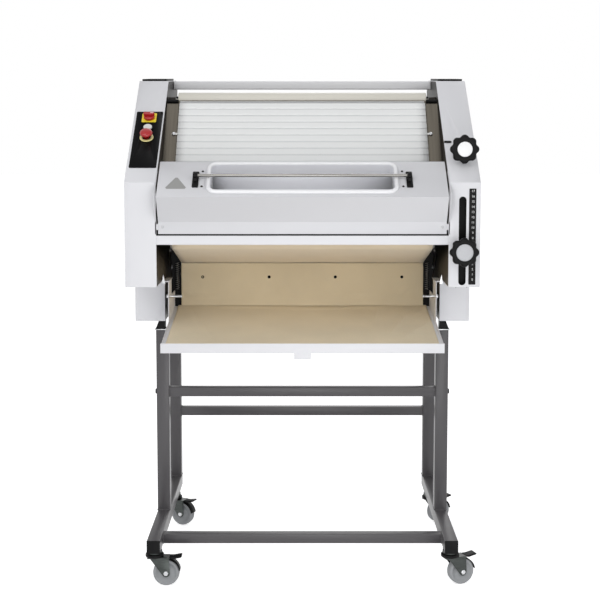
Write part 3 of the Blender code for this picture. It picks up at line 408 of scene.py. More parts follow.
def on_front(x, y, z):
    """A frame that faces the operator: across is +X, up is +Z, out is -Y."""
    return facing((x, y, z), (1, 0, 0), (0, 0, 1))


def on_rear(x, y, z):
    """A frame that faces backwards: across is -X, up is +Z, out is +Y."""
    return facing((x, y, z), (-1, 0, 0), (0, 0, 1))


def on_side(sign, x, y, z):
    """A frame that faces sideways: out is +X or -X."""
    return facing((x, y, z), (0, sign, 0), (0, 0, 1))


def on_level(x, y, z=0.0):
    """A level frame: across is +X, up is +Y, out is +Z."""
    return facing((x, y, z), (1, 0, 0), (0, 1, 0))


def along_x(x=0.0, y=0.0, z=0.0):
    """A frame whose across is +Y, up is +Z and out is +X, for outlines seen from the side."""
    return facing((x, y, z), (0, 1, 0), (0, 0, 1))


def put(frame_here, local):
    """Local points (across, up, out) moved into machine coordinates."""
    origin, axes = frame_here
    return np.asarray(local, float) @ axes + origin


# %% Finishing helpers
BODY_OF = {node: obj["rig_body"] for node, obj in frame["nodes"].items()}


def bevelled(obj, width, segments=2, angle=32):
    """Round the edges sharper than an angle, and shade the result smoothly."""
    obj.data.polygons.foreach_set("use_smooth", np.full(len(obj.data.polygons), True))
    edge = obj.modifiers.new("folded edges", 'BEVEL')
    edge.width = width
    edge.segments = segments
    edge.limit_method = 'ANGLE'
    edge.angle_limit = math.radians(angle)
    edge.harden_normals = True
    return obj


def placed(obj, body="machine", bevel=0.0, segments=2, node=None):
    """Round a new piece's edges if asked, and let it ride on a body, or on the body of the CAD node it replaces."""
    if bevel:
        bevelled(obj, bevel, segments)
    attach(obj, BODY_OF[node] if node else body)
    if node:
        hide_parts(node)
    return obj


def thickened(obj, thickness, offset=0.0):
    """Give an open sheet a wall, half on each side of it when the offset is 0."""
    wall = obj.modifiers.new("wall", 'SOLIDIFY')
    wall.thickness = thickness
    wall.offset = offset
    return obj


def real_mesh(obj):
    """A new mesh of an object as its modifiers, or its curve, make it."""
    bpy.context.view_layer.update()
    return bpy.data.meshes.new_from_object(obj.evaluated_get(bpy.context.evaluated_depsgraph_get()))


def baked(obj):
    """Turn an object's modifiers into real mesh."""
    mesh = real_mesh(obj)
    obj.modifiers.clear()
    obj.data = mesh
    return obj


def tidy_faces(obj, merge=1e-6, flat=None):
    """Merge doubled points, join faces that are flat within an angle, and turn every face outwards."""
    work = bmesh.new()
    work.from_mesh(obj.data)
    bmesh.ops.remove_doubles(work, verts=work.verts, dist=merge)
    if flat is not None:
        bmesh.ops.dissolve_limit(work, angle_limit=flat, verts=work.verts, edges=work.edges)
    bmesh.ops.recalc_face_normals(work, faces=work.faces)
    work.to_mesh(obj.data)
    work.free()
    return obj


def finished(node, look, obj=None):
    """Give a CAD node its finish, or give it to a copy."""
    obj = obj or frame["nodes"][node]
    obj.data.materials.clear()
    obj.data.materials.append(look)
    return obj


def softened(node, width, look, segments=2):
    """A copy of a CAD node with its loose triangles welded, flat faces joined and edges rounded."""
    obj = bpy.data.objects.new("soft_" + node, frame["nodes"][node].data.copy())
    bpy.context.scene.collection.objects.link(obj)
    tidy_faces(obj, 1e-5, math.radians(0.5))
    return placed(finished(node, look, obj), bevel=width, segments=segments, node=node)


def corners_of(mesh):
    """A mesh's points as rows."""
    flat = np.zeros(len(mesh.vertices) * 3)
    mesh.vertices.foreach_get("co", flat)
    return flat.reshape(-1, 3)


# %% Meshes from arrays
def link_mesh(name, points, faces, look, smooth=True):
    """A linked mesh object from machine coordinates and index rows."""
    mesh = bpy.data.meshes.new(name)
    mesh.from_pydata((np.asarray(points) + [0, FRONT, 0]).tolist(), [], [list(face) for face in faces])
    mesh.materials.append(look)
    mesh.polygons.foreach_set("use_smooth", np.full(len(mesh.polygons), smooth))
    obj = bpy.data.objects.new(name, mesh)
    bpy.context.scene.collection.objects.link(obj)
    return obj


def link_parts(name, parts, look, smooth=True):
    """One mesh object from many (points, faces) pairs."""
    starts = np.cumsum([0] + [len(points) for points, faces in parts])
    faces = [np.asarray(face) + start for start, (points, faces) in zip(starts, parts) for face in faces]
    return link_mesh(name, np.concatenate([points for points, faces in parts]), faces, look, smooth)


def grid_faces(rows, columns, wrap_rows=False, wrap_columns=False):
    """Quads of a grid, four indices each; a wrapped side joins its last line to its first."""
    row = np.arange(rows if wrap_rows else rows - 1)[:, None]
    column = np.arange(columns if wrap_columns else columns - 1)[None, :]
    down, right = (row + 1) % rows, (column + 1) % columns
    corners = (row * columns + column, row * columns + right, down * columns + right, down * columns + column)
    return np.stack(np.broadcast_arrays(*corners), -1).reshape(-1, 4)


def surface(name, points, look, uv=None):
    """An open sheet on a grid of points, rows by columns by 3, with an optional UV grid in metres."""
    faces = grid_faces(*points.shape[:2])
    obj = link_mesh(name, points.reshape(-1, 3), faces, look)
    if uv is not None:
        layer = obj.data.uv_layers.new(name="cloth")
        layer.data.foreach_set("uv", uv.reshape(-1, 2)[faces].ravel())
    return obj


def swept(side_view, distance, across):
    """A cloth's points and its UV grid: a side view (y, z), one for all or one per x, carried across the machine."""
    if side_view.ndim == 2:
        side_view = np.repeat(side_view[:, None, :], len(across), 1)
    grid = np.broadcast_to(across[None, :, None], (len(side_view), len(across), 1))
    return (np.concatenate([grid, side_view], -1),
            np.stack(np.broadcast_arrays(across[None, :], distance[:, None]), -1))


def turned(name, profile, frame_here, look, steps=48, ring=False, wave=None, **placing):
    """A solid of revolution: (radius, height) carried round the frame's out axis.

    A ring's profile closes on itself. wave multiplies the radius by a function of (angle, profile row)."""
    profile = np.asarray(profile, float)
    angle = np.linspace(0, 2 * math.pi, steps, endpoint=False)
    radius = np.repeat(profile[:, :1], steps, 1)
    if wave is not None:
        radius = radius * wave(angle[None, :], np.arange(len(profile))[:, None])
    height = np.repeat(profile[:, 1:], steps, 1)
    local = np.stack([radius * np.cos(angle), radius * np.sin(angle), height], -1)
    faces = grid_faces(len(profile), steps, ring, True)
    return placed(tidy_faces(link_mesh(name, put(frame_here, local.reshape(-1, 3)), faces, look)), **placing)


def prism(outline, low, high, frame_here):
    """Points and faces of a flat outline carried from low to high along the frame's out axis."""
    outline = np.asarray(outline, float)
    count = len(outline)
    ends = [np.column_stack([outline, np.full(count, height)]) for height in (low, high)]
    faces = list(grid_faces(2, count, False, True)) + [np.arange(count), np.arange(count)[::-1] + count]
    return put(frame_here, np.concatenate(ends)), faces


def extruded(name, outline, low, high, frame_here, look, smooth=False, **placing):
    """A closed prism as a placed piece."""
    return placed(tidy_faces(link_mesh(name, *prism(outline, low, high, frame_here), look, smooth)), **placing)


def round_box(width, height, radius, steps=5):
    """Outline of a rectangle with round corners, from four quarter circles."""
    quarter = np.linspace(0, math.pi / 2, steps + 1)
    corners = []
    for index, (across, up) in enumerate(((1, 1), (-1, 1), (-1, -1), (1, -1))):
        angle = quarter + index * math.pi / 2
        centre = np.array([across * (width / 2 - radius), up * (height / 2 - radius)])
        corners.append(centre + radius * np.column_stack([np.cos(angle), np.sin(angle)]))
    return np.concatenate(corners)


def unit(rows):
    """Each row of a two-column array, scaled to length one."""
    return rows / np.linalg.norm(rows, axis=1)[:, None]


def thick_path(path, thickness):
    """Outline of a bent sheet: the path, and its copy moved sideways with mitred corners."""
    path = np.asarray(path, float)
    steps = np.diff(path, axis=0)
    normal = unit(np.column_stack([-steps[:, 1], steps[:, 0]]))
    total = np.vstack([normal[:1], normal[:-1] + normal[1:], normal[-1:]])
    count = np.array([1] + [2] * (len(path) - 2) + [1])
    moved = path + total * (thickness * count / (total ** 2).sum(1))[:, None]
    return np.vstack([path, moved[::-1]])


def resampled(path, count, endpoint=True):
    """A path's points at even steps, and the distance of each from the start."""
    distance = np.concatenate([[0], np.cumsum(np.linalg.norm(np.diff(path, axis=0), axis=1))])
    wanted = np.linspace(0, distance[-1], count, endpoint=endpoint)
    return np.column_stack([np.interp(wanted, distance, path[:, axis]) for axis in (0, 1)]), wanted


HEX_HEAD = [(0, 0.62), (0.80, 0.62), (1.0, 0.50), (1.0, 0.0), (1.3, 0.0), (1.3, -0.12), (0, -0.12)]
PAN_HEAD = [(0, 0.20), (0.38, 0.20), (0.44, 0.58), (0.75, 0.50), (1.0, 0.16), (1.0, -0.1), (0, -0.1)]


def heads(name, frames, radius, look, body="machine", hexagonal=False):
    """Screw or bolt heads at many frames, tiled as one mesh from one head's points."""
    steps, profile = (6, HEX_HEAD) if hexagonal else (14, PAN_HEAD)
    profile = np.array(profile)
    angle = np.linspace(0, 2 * math.pi, steps, endpoint=False)
    ring = np.stack([np.cos(angle), np.sin(angle)], -1)
    local = np.concatenate([profile[:, None, :1] * ring, np.repeat(profile[:, None, 1:], steps, 1)], -1)
    faces = grid_faces(len(profile), steps, False, True)
    parts = [(put(frame_here, local.reshape(-1, 3) * radius), faces) for frame_here in frames]
    return placed(tidy_faces(link_parts(name, parts, look, not hexagonal)), body)


# %% [markdown]
# ## Side covers
#
# Each cover is one folded box of white painted sheet. The CAD solid has the right shape, but its edges are knife
# sharp. `softened` welds a copy and bevels it, so that a thin highlight runs along every fold. A dark plastic inset
# lies in each cover's flat top, and a black shroud closes the view behind the height slot.

# %% Covers, insets and shroud
COVER_INNER, COVER_OUTER = (corner[0] for corner in machine_box("side_cover_right"))
TOP_HEAD, TOP_CROWN = np.array([0.403, 1.530]), np.array([0.655, 1.540])
lean = math.atan2(*(TOP_CROWN - TOP_HEAD)[::-1])
# the side frames get the darkened steel, which is painted shade
for side, sign in SIDES:
    softened("side_cover_" + side, 0.0009, WHITE_PAINT)
    finished("side_frame_" + side, SHADED_FRAME_STEEL)
for side, sign in SIDES:
    centre = facing((sign * (COVER_INNER + COVER_OUTER) / 2, *(TOP_HEAD + TOP_CROWN) / 2), (1, 0, 0),
                    (0, math.cos(lean), math.sin(lean)))
    extruded("top_inset_" + side, round_box(0.080, 0.236, 0.006), 0.0001, 0.0065, centre, BLACK_SATIN, bevel=0.0006)
shroud = thick_path([(-0.016, 0.0105), (-0.016, 0.030), (0.016, 0.030), (0.016, 0.0105)], 0.001)
SLOT_X, SLOT_FOOT = 0.478, 0.900
extruded("slot_shroud", shroud, 0.0, 0.290, on_level(SLOT_X, 0, SLOT_FOOT), BLACK_SATIN)
COVER_SCREWS = ((0.060, 1.070), (0.060, 0.935), (0.275, 0.815), (0.640, 0.815), (0.640, 1.470), (0.420, 1.470),
                (0.640, 1.130))
heads("cover_screws", [on_side(sign, sign * COVER_OUTER, y, z) for sign in (-1, 1) for y, z in COVER_SCREWS],
      0.0045, ZINC)
print("covers: 2, insets: 2, screws:", 2 * len(COVER_SCREWS))

# %% [markdown]
# ## Front guard and feed hopper
#
# The guard is one sheet, folded at the nose and at the knee, with a collar let through it for the hopper. A curved
# pan behind the collar leads the dough into the rollers and closes the view. The pan's side view is a smooth curve,
# so it is worked out point by point and carried across the machine.

# %% Guard and pan
softened("front_guard", 0.0007, GUARD_WHITE)
amount = np.linspace(0, 1, 14)
pan_path = np.column_stack([0.0872 + 0.0050 * amount ** 0.6, 1.2325 - 0.0525 * amount])
# the pan carries the hopper's painted light and shade
extruded("hopper_pan", thick_path(pan_path, -0.0012), -0.2735, 0.2735, along_x(), HOPPER_PAINTED_LIGHT, True)
HOPPER_WIDTH, HOPPER_HEIGHT, HOPPER_CORNER, HOPPER_UP = 0.548, 0.117, 0.018, 0.020
CORNER_POINTS = 24


def hopper_frame(name, section, look, **placing):
    """A section of (outward, lift) points carried round the hopper's opening.

    Moving its outline outwards by d gives the same outline, 2d wider and taller, with d added to its radius."""
    rings = [np.column_stack([round_box(HOPPER_WIDTH + 2 * out, HOPPER_HEIGHT + 2 * out, HOPPER_CORNER + out),
                              np.full(CORNER_POINTS, lift)]) for out, lift in section]
    points = put(on_slope(0, HOPPER_UP), np.concatenate(rings))
    faces = grid_faces(len(section), CORNER_POINTS, True, True)
    placed(tidy_faces(link_mesh(name, points, faces, look)), **placing)


hopper_frame("hopper_lip", [(-0.0007, -0.0020), (-0.0007, 0.0040), (0.0006, 0.0066), (0.0036, 0.0082),
                            (0.0080, 0.0080), (0.0112, 0.0058), (0.0126, 0.0026), (0.0128, 0.0002),
                            (0.0017, 0.0002), (0.0017, -0.0020)], LIT_WHITE_PAINT)
# a thin liner puts the same painted light and shade on the collar's inside
hopper_frame("hopper_liner_painted_light", [(-0.0009, 0.0030), (-0.0009, -0.0360), (-0.0003, -0.0364), (-0.0003, 0.0030)],
             HOPPER_PAINTED_LIGHT, bevel=0.0002, segments=1)
guard_low, guard_high = machine_box("front_guard")
side_path = [(y, SLOPE_FOOT_Z + y * math.tan(SLOPE)) for y in (0.0440, -0.0360)]
side_path += [(-0.0360, 1.1530), (0.0, 1.099), (0.0, guard_low[2])]
for side, sign in SIDES:
    edges = sorted((sign * (guard_high[0] - 0.0005), sign * (guard_high[0] + 0.0030)))
    extruded("guard_return_" + side, thick_path(side_path, 0.008), *edges, along_x(), GUARD_WHITE)
# a black strip behind the gap between the guard and the front band, which is painted shade
extruded("guard_gap_shade_strip", round_box(0.860, 0.026, 0.001), -0.0020, 0.0, on_front(0, 0.0055, 1.065), BLACK_SATIN)
heads("guard_screws", [on_front(sign * 0.418, -0.0005, 1.084) for sign in (-1, 1)], 0.0042, ZINC)
corner = np.array([(-0.0340, -0.0280), (0.0340, -0.0280), (0, 0.0280)])
STICKER_TIP = 0.90
amount = np.linspace(0, 1, 6)[:, None]
sticker = [corner[index] * STICKER_TIP + (1 - STICKER_TIP) * (corner[index - 1] * (1 - amount)
                                                              + corner[(index + 1) % 3] * amount)
           for index in range(3)]
extruded("bare_sticker", np.concatenate(sticker), 0.0002, 0.0006, on_slope(-0.376, -0.001), NEUTRAL_STICKER)
print("guard pan", np.round(pan_path[[0, -1]], 4).tolist())

# %% [markdown]
# ## Feed slide
#
# Dough slides down a moulded sheet with fourteen broad ribs. Each rib is a shallow arch with a narrow groove between
# it and the next. The height over one rib is a power curve, flat on top and steep at its ends, which gives the bright
# bands and thin grey lines, and the grooves are given a darker grey of their own, which is painted shade. A steel
# strip with one clip and its screw runs down each side, under a black bracket.

# %% Ribbed slide
SLIDE_TOP, SLIDE_FOOT = np.array([0.333, 1.460]), np.array([0.097, 1.1724])
SLIDE_LENGTH = float(np.linalg.norm(SLIDE_FOOT - SLIDE_TOP))
DOWN = (SLIDE_FOOT - SLIDE_TOP) / SLIDE_LENGTH
RIBS = 14
RIB_HEIGHT = 0.0042
RIB_STEPS = 20
slide_frame = facing((0, *SLIDE_TOP), (1, 0, 0), (0, *DOWN))
slide_low = machine_box("ribbed_slide")[0][0]
along = np.linspace(0, SLIDE_LENGTH, RIBS * RIB_STEPS + 1)
phase = (along / SLIDE_LENGTH * RIBS) % 1.0
depth = RIB_HEIGHT * np.abs(2 * phase - 1) ** 6
across = np.linspace(slide_low, -slide_low, 25)
# the frame's out axis points into the slide, so a groove lies at a positive height
local = np.stack(np.broadcast_arrays(across[None, :], along[:, None], depth[:, None]), -1)
ribbed = surface("ribbed_slide_skin", put(slide_frame, local.reshape(-1, 3)).reshape(local.shape), SLIDE_WHITE)
# the groove faces take the darker grey, which is painted shade
ribbed.data.materials.append(SLIDE_SHADE_GREY)
groove_shade_faces = np.abs(2 * ((phase[:-1] + 0.5 / RIB_STEPS) % 1.0) - 1) > 0.88
ribbed.data.polygons.foreach_set("material_index", np.repeat(groove_shade_faces, len(across) - 1).astype(np.int32))
placed(thickened(ribbed, 0.0018, 1.0), node="ribbed_slide")
finished("slide_bed", STAINLESS)
print("slide length", round(SLIDE_LENGTH, 4), "rib pitch", round(SLIDE_LENGTH / RIBS, 4))

# %% Side strips, screws and brackets
STRIP_INNER, STRIP_OUTER, CLIP_DOWN = 0.3975, 0.4345, SLIDE_LENGTH * 0.352
for side, sign in SIDES:
    strip = [(STRIP_INNER, 0.003), (STRIP_OUTER, 0.003), (STRIP_OUTER, SLIDE_LENGTH - 0.004),
             (STRIP_INNER, SLIDE_LENGTH - 0.004)]
    extruded("slide_strip_" + side, np.array(strip) * [sign, 1], 0.0006, 0.0048, slide_frame, STAINLESS, bevel=0.0006)
    extruded("strip_bracket_" + side, round_box(0.038, 0.008, 0.002) + [sign * 0.4165, -0.0030], -0.0060, 0.0050,
             slide_frame, BLACK_PLASTIC, bevel=0.0010)
    extruded("slide_clip_" + side, round_box(0.018, 0.007, 0.003) + [sign * 0.4040, CLIP_DOWN], -0.0016, 0.0006,
             slide_frame, PALE_PLASTIC, bevel=0.0004)
heads("slide_screws", [facing(put(slide_frame, (sign * 0.4060, CLIP_DOWN, -0.0016)), (-1, 0, 0), (0, *DOWN))
                       for sign in (-1, 1)], 0.0062, ZINC)
# the slide's top edge takes the same painted shade grey
extruded("slide_top_edge", round_box(0.786, 0.003, 0.001), 0.0, 0.0040,
         facing(put(slide_frame, (0, -0.0020, 0)), (1, 0, 0), (0, *DOWN)), SLIDE_SHADE_GREY)
print("strips: 2, each with a bracket and a screw")

# %% [markdown]
# ## Rollers
#
# Three rollers are turned anew: a profile of radius and height, carried round an axis. They are of one cream plastic,
# with chamfered ends. The belt rollers are plain steel tubes and keep their CAD shape. Two steel brackets with a pair
# of black screws hold the top roller between the frames.


# %% Roller maker
def make_roller(node, y, z, radius, half, shaft_end):
    """A cream roller along X: chamfered barrel, end caps set back a little, and the shaft."""
    shaft = 0.0098
    profile = [(0, shaft_end), (shaft - 0.001, shaft_end), (shaft, shaft_end - 0.001), (shaft, half - 0.001),
               (shaft + 0.006, half - 0.0002), (radius - 0.006, half - 0.0002), (radius - 0.005, half - 0.002),
               (radius - 0.003, half - 0.002), (radius - 0.0015, half), (radius, half - 0.0015)]
    profile += [(r, -h) for r, h in profile[::-1]]
    turned(node + "_turned", profile, along_x(0, y, z), ROLLER_CREAM, 64, node=node)


TOP_ROLLER = (0.385, 1.463)
make_roller("top_roller", *TOP_ROLLER, 0.029, 0.402, 0.4423)
make_roller("laminating_roller_front", 0.045, 1.122, 0.038, 0.415, 0.4423)
make_roller("laminating_roller_rear", 0.128, 1.130, 0.038, 0.415, 0.4347)
finished("belt_roller_front", ROLLER_STEEL)
finished("belt_roller_rear", ROLLER_STEEL)
finished("roller_carriage", SHADED_FRAME_STEEL)
arc = np.linspace(math.radians(100), math.radians(440), 24)
circle = np.column_stack([np.cos(arc), np.sin(arc)])
collar = np.concatenate([0.0155 * circle, 0.0112 * circle[::-1]]) + TOP_ROLLER
bracket_plate = round_box(0.030, 0.052, 0.004) + [0.365, 1.432]
for side, sign in SIDES:
    for name, outline, low, high in (("roller_bracket_", collar, 0.4120, 0.4355),
                                     ("bracket_plate_", bracket_plate, 0.4335, 0.4365)):
        extruded(name + side, outline, low, high, along_x(0 if sign > 0 else -low - high), SHADED_FRAME_STEEL)
heads("bracket_screws", [on_front(sign * 0.405, 0.3655, TOP_ROLLER[1] + shift) for sign in (-1, 1)
                         for shift in (-0.0125, 0.0125)], 0.0038, BLACK_PLASTIC)
print("rollers: 5")

# %% [markdown]
# ## Felt belt
#
# The belt is an endless loop of woven felt, stretched round its two rollers. Its side view is two arcs joined by
# straight runs. The loop's own length drives the UV map, so the weave keeps its size all the way round, and the cloth
# bows by under a millimetre between the rollers.


# %% Belt loop
def loop_path(first, first_r, second, second_r, count):
    """Evenly spaced points round two pulleys, counter-clockwise as seen from +X, and their distances."""
    first, second = np.array(first), np.array(second)
    gap = second - first
    along = math.atan2(gap[1], gap[0])
    half = math.acos((first_r - second_r) / np.linalg.norm(gap))
    near = np.linspace(along - half, along + half, 60)
    far = np.linspace(along + half, along + 2 * math.pi - half, 60)
    points = np.concatenate([second + second_r * np.column_stack([np.cos(near), np.sin(near)]),
                             first + first_r * np.column_stack([np.cos(far), np.sin(far)])])
    return resampled(np.vstack([points, points[:1]]), count)


BELT_FRONT, BELT_REAR = (0.075, 1.044), (0.600, 0.930)
BELT_HALF = 0.3945
belt_path, belt_distance = loop_path(BELT_FRONT, 0.0345, BELT_REAR, 0.0525, 161)
across = np.linspace(-BELT_HALF, BELT_HALF, 41)
ripple = 0.0005 * np.sin(across * 23 + 0.6) * np.cos(across * 9)
slant = np.gradient(belt_path, axis=0)
inward = unit(np.column_stack([-slant[:, 1], slant[:, 0]]))
straight = np.abs(np.gradient(np.unwrap(np.arctan2(inward[:, 1], inward[:, 0])))) < 0.01
side_view = belt_path[:, None, :] + inward[:, None, :] * (ripple[None, :, None] * straight[:, None, None])
belt_points, belt_uv = swept(side_view, belt_distance, across)
belt = thickened(tidy_faces(surface("felt_belt_cloth", belt_points, FELT, belt_uv)), 0.0030)
placed(belt, node="felt_belt")
print("belt", 2 * BELT_HALF, "x", round(belt_distance[-1], 3), "m")

# %% [markdown]
# ## Pressing board and its canvas curtain
#
# A faced board lies under the belt. A strip of canvas is screwed along the board's front and hangs in front of the
# apron. Hung cloth is never flat: it is pulled in at each screw, bows out softly between them, and kicks forward at
# the foot where it meets the tray. The height field is a sum of those effects and of a few short folds. Its upper edge
# closes the mouth under the belt and its foot lies on the tray. The strip is made as an upper and a lower half that
# meet at the screws.


# %% Curtain
def ridges(grid_x, grid_y, table):
    """Summed heights of cloth folds, each (x, y, angle, length, width, height) and faded at its ends."""
    total = 0
    for x, y, angle, length, width, height in table:
        along_line = (grid_x - x) * math.cos(angle) + (grid_y - y) * math.sin(angle)
        off_line = -(grid_x - x) * math.sin(angle) + (grid_y - y) * math.cos(angle)
        total = total + height * np.exp(-(off_line / width) ** 2 - (along_line / length) ** 4)
    return total


finished("pressing_board", BOARD_WOOD)
APRON_FRONT = 0.340
CURTAIN_HALF, CURTAIN_TOP, CURTAIN_FOOT = 0.3935, 0.9385, 0.8005
CLOTH_THICKNESS = 0.0009
SCREW_ROW = 10           # the grid row that runs through the screws, where the halves meet
SCREW_PLACES, SCREW_Z, DIMPLE_REACH = (-0.325, -0.108, 0.108, 0.325), 0.893, 0.018
grid_x, grid_fall = np.meshgrid(np.linspace(-CURTAIN_HALF, CURTAIN_HALF, 121), np.linspace(0, 1, 31))
grid_z = CURTAIN_TOP + (CURTAIN_FOOT - CURTAIN_TOP) * grid_fall
dimple = sum(np.exp(-((grid_x - x) ** 2 + (grid_z - SCREW_Z) ** 2) / DIMPLE_REACH ** 2) for x in SCREW_PLACES)
bow = 0.0016 * grid_fall * (1 + 0.7 * np.sin(grid_x * 17 + 1.1) + 0.5 * np.sin(grid_x * 41 + 2.0))
kick = 0.0110 * grid_fall ** 7
folds = ridges(grid_x, grid_z, ((-0.330, 0.830, 0.02, 0.055, 0.0045, 0.0022),
                                (0.330, 0.845, 0.75, 0.040, 0.0050, 0.0026),
                                (0.362, 0.860, 1.05, 0.032, 0.0045, 0.0022),
                                (-0.120, 0.842, -0.03, 0.150, 0.0080, 0.0010),
                                (0.180, 0.826, 0.05, 0.120, 0.0070, 0.0014),
                                (-0.372, 0.858, -1.0, 0.030, 0.0045, 0.0016)))
proud = 0.0013 + np.clip(bow, 0, None) + kick + folds + 0.0009 * (1 - np.clip(dimple, 0, 1))
points = np.stack([grid_x, APRON_FRONT - proud, grid_z], -1)
uv = np.stack([grid_x, grid_z], -1)
curtain_screws = heads("curtain_screws", [on_front(x, APRON_FRONT - 0.0016, SCREW_Z) for x in SCREW_PLACES],
                       0.0052, BLACK_SATIN, "pressing_board")
halves = (("upper", slice(0, SCREW_ROW + 1), [], ("machine", "pressing_board")),
          ("lower", slice(SCREW_ROW, None), [curtain_screws], ("pressing_board", "machine")))
for half, rows, held_pieces, bodies in halves:
    curtain = baked(thickened(surface("curtain_" + half, points[rows], CANVAS, uv[rows]), CLOTH_THICKNESS))
    curtain.data.set_sharp_from_angle(angle=math.radians(50))
    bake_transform(curtain)
print("curtain", 2 * CURTAIN_HALF, "x", round(CURTAIN_TOP - CURTAIN_FOOT, 3), "m")

# %% [markdown]
# ## Curling mat
#
# The mat that curls the dough is woven from steel links. It is a thin sheet with a weave on its UV map, hung from a
# plain rod, and it trails on the belt's upper run.

# %% Curling mat
line_z = np.interp(belt_path[:, 0], [BELT_FRONT[0], BELT_REAR[0]], [BELT_FRONT[1], BELT_REAR[1]])
upper_run = belt_path[belt_path[:, 1] > line_z]
upper_run = upper_run[np.argsort(upper_run[:, 0])]
ROD_Y, ROD_Z = 0.225, 1.115
turned("mat_rod", [(0, 0.4367), (0.0045, 0.4367), (0.005, 0.4362), (0.005, -0.4362), (0.0045, -0.4367), (0, -0.4367)],
       along_x(0, ROD_Y, ROD_Z), ROD_STEEL, 24)
rest_y = np.array([0.268, 0.300, 0.360, 0.435])
rest_z = np.interp(rest_y, *upper_run.T) + 0.0030
mat_path = np.vstack([[(ROD_Y, ROD_Z - 0.005), (0.238, 1.086), (0.250, rest_z[0] + 0.0100)],
                      np.column_stack([rest_y, rest_z])])
mat_side, mat_distance = resampled(mat_path, 60)
mat_points, mat_uv = swept(mat_side, mat_distance, np.linspace(-0.380, 0.380, 24))
placed(thickened(surface("curling_mat", mat_points, MESH_STEEL, mat_uv), 0.0016), node="curling_mesh")
print("mat length", round(mat_distance[-1], 3), "m")

# %% [markdown]
# ## Catch tray and its canvas
#
# The tray is folded sheet. The canvas on it is laid, not glued: it has long soft swells from front to back, a few
# creases at its sides and back where hands pull it, and a turned hem along its front edge.

# %% Tray and laid canvas
softened("catch_tray", 0.0007, WHITE_PAINT)
TRAY_FRONT, TRAY_FRONT_Z, TRAY_BACK, TRAY_BACK_Z = -0.071, 0.7445, 0.3385, 0.799
TRAY_SLOPE = (TRAY_BACK_Z - TRAY_FRONT_Z) / (TRAY_BACK - TRAY_FRONT)
CANVAS_HALF, CANVAS_DEPTH = 0.4045, 0.413
reach = np.linspace(TRAY_FRONT + 0.0015, TRAY_BACK - 0.0005, 101)
grid_x, grid_y = np.meshgrid(np.linspace(-CANVAS_HALF, CANVAS_HALF, 161), reach)
depth_in = (grid_y - reach[0]) / (reach[-1] - reach[0])
swell = 0.0011 * (1 + np.sin(grid_x * 11 + 2.2 * depth_in + 0.7)) * np.sin(math.pi * depth_in) ** 0.7
creases = ridges(grid_x, grid_y, ((0.300, 0.130, 1.25, 0.110, 0.007, 0.0030),
                                  (0.345, 0.060, 1.05, 0.090, 0.006, 0.0026),
                                  (0.235, 0.215, 1.45, 0.080, 0.008, 0.0022),
                                  (-0.335, 0.190, 1.75, 0.100, 0.007, 0.0024),
                                  (-0.290, 0.060, 1.85, 0.080, 0.007, 0.0018),
                                  (0.120, 0.300, 0.10, 0.200, 0.007, 0.0020),
                                  (-0.150, 0.309, -0.05, 0.220, 0.008, 0.0024),
                                  (0.372, 0.255, 0.8, 0.050, 0.006, 0.0022)))
hem = 0.0009 * (1 / (1 + np.exp(-(0.012 - (grid_y - reach[0])) / 0.0008)))
back = np.clip((grid_y - 0.270) / 0.055, 0, 1)
rise = 0.0024 * back * back * (3 - 2 * back)
base = TRAY_FRONT_Z + (grid_y - TRAY_FRONT) * TRAY_SLOPE
points = np.stack([grid_x, grid_y, base - 0.0010 + swell + creases + hem + rise], -1)
laid = surface("laid_canvas", points, CANVAS, np.stack([grid_x, grid_y], -1))
placed(thickened(laid, CLOTH_THICKNESS), node="catch_canvas")
print("laid canvas", 2 * CANVAS_HALF, "x", CANVAS_DEPTH, "m")

# %% Tray pins
PIN = [(0, 0.0215), (0.0052, 0.0215), (0.0062, 0.0200), (0.0062, 0.0165), (0.0038, 0.0155), (0.0038, -0.0235),
       (0.0060, -0.0240), (0.0060, -0.0265), (0, -0.0270)]
for side, sign in SIDES:
    turned("tray_pin_" + side, PIN, on_side(sign, sign * 0.4010, 0.145, 0.856), ZINC, 24, body="catch_tray")
finished("front_band", WHITE_PAINT)
# the top beam gets the brighter white, which is painted light
softened("top_beam", 0.0015, LIT_WHITE_PAINT)
print("pins: 2")

# %% [markdown]
# ## Control panel
#
# A black plate lies on the left cover's slope. It carries a red rotary switch on a yellow square, a pale push button
# and a red mushroom button in a yellow ring. The switch's handle is a rounded bar, the mushroom is a turned dome, and
# the small collars under them are what stops dough dust getting in.

# %% Panel, switch and buttons
PANEL_X, SWITCH_UP, START_UP, STOP_UP = -0.4825, 0.311, 0.258, 0.212
PLATE_TOP = 0.0018
switch_place, start_place, stop_place = (on_slope(PANEL_X, up) for up in (SWITCH_UP, START_UP, STOP_UP))
softened("control_panel", 0.0004, PANEL_BLACK, 1)
square, hole = (tidy_faces(link_mesh(name, *prism(outline, low, high, switch_place), YELLOW_PLATE, False))
                for name, outline, low, high in
                (("switch_square", round_box(0.046, 0.046, 0.004), PLATE_TOP + 0.0002, PLATE_TOP + 0.0016),
                 ("square_hole", round_box(0.0196, 0.0196, 0.0097), -0.01, 0.01)))
cut = square.modifiers.new("hole", 'BOOLEAN')
cut.operation = 'DIFFERENCE'
cut.object = hole
placed(baked(square), bevel=0.0005, segments=1)
bpy.data.objects.remove(hole)

turned("switch_base", [(0, 0.0130), (0.0150, 0.0130), (0.0165, 0.0120), (0.0172, 0.0040), (0.0085, 0.0036),
                       (0.0085, -0.0200), (0, -0.0200)], switch_place, RED_PLASTIC, 40, node="main_switch_knob")
extruded("switch_grip", round_box(0.0350, 0.0125, 0.0060), 0.0132, 0.0225, switch_place, RED_PLASTIC,
         body="main_switch", bevel=0.0018, segments=3)
extruded("switch_mark", round_box(0.0100, 0.0020, 0.0010), 0.0226, 0.0230, on_slope(PANEL_X + 0.0095, SWITCH_UP),
         DISC_WHITE, body="main_switch")

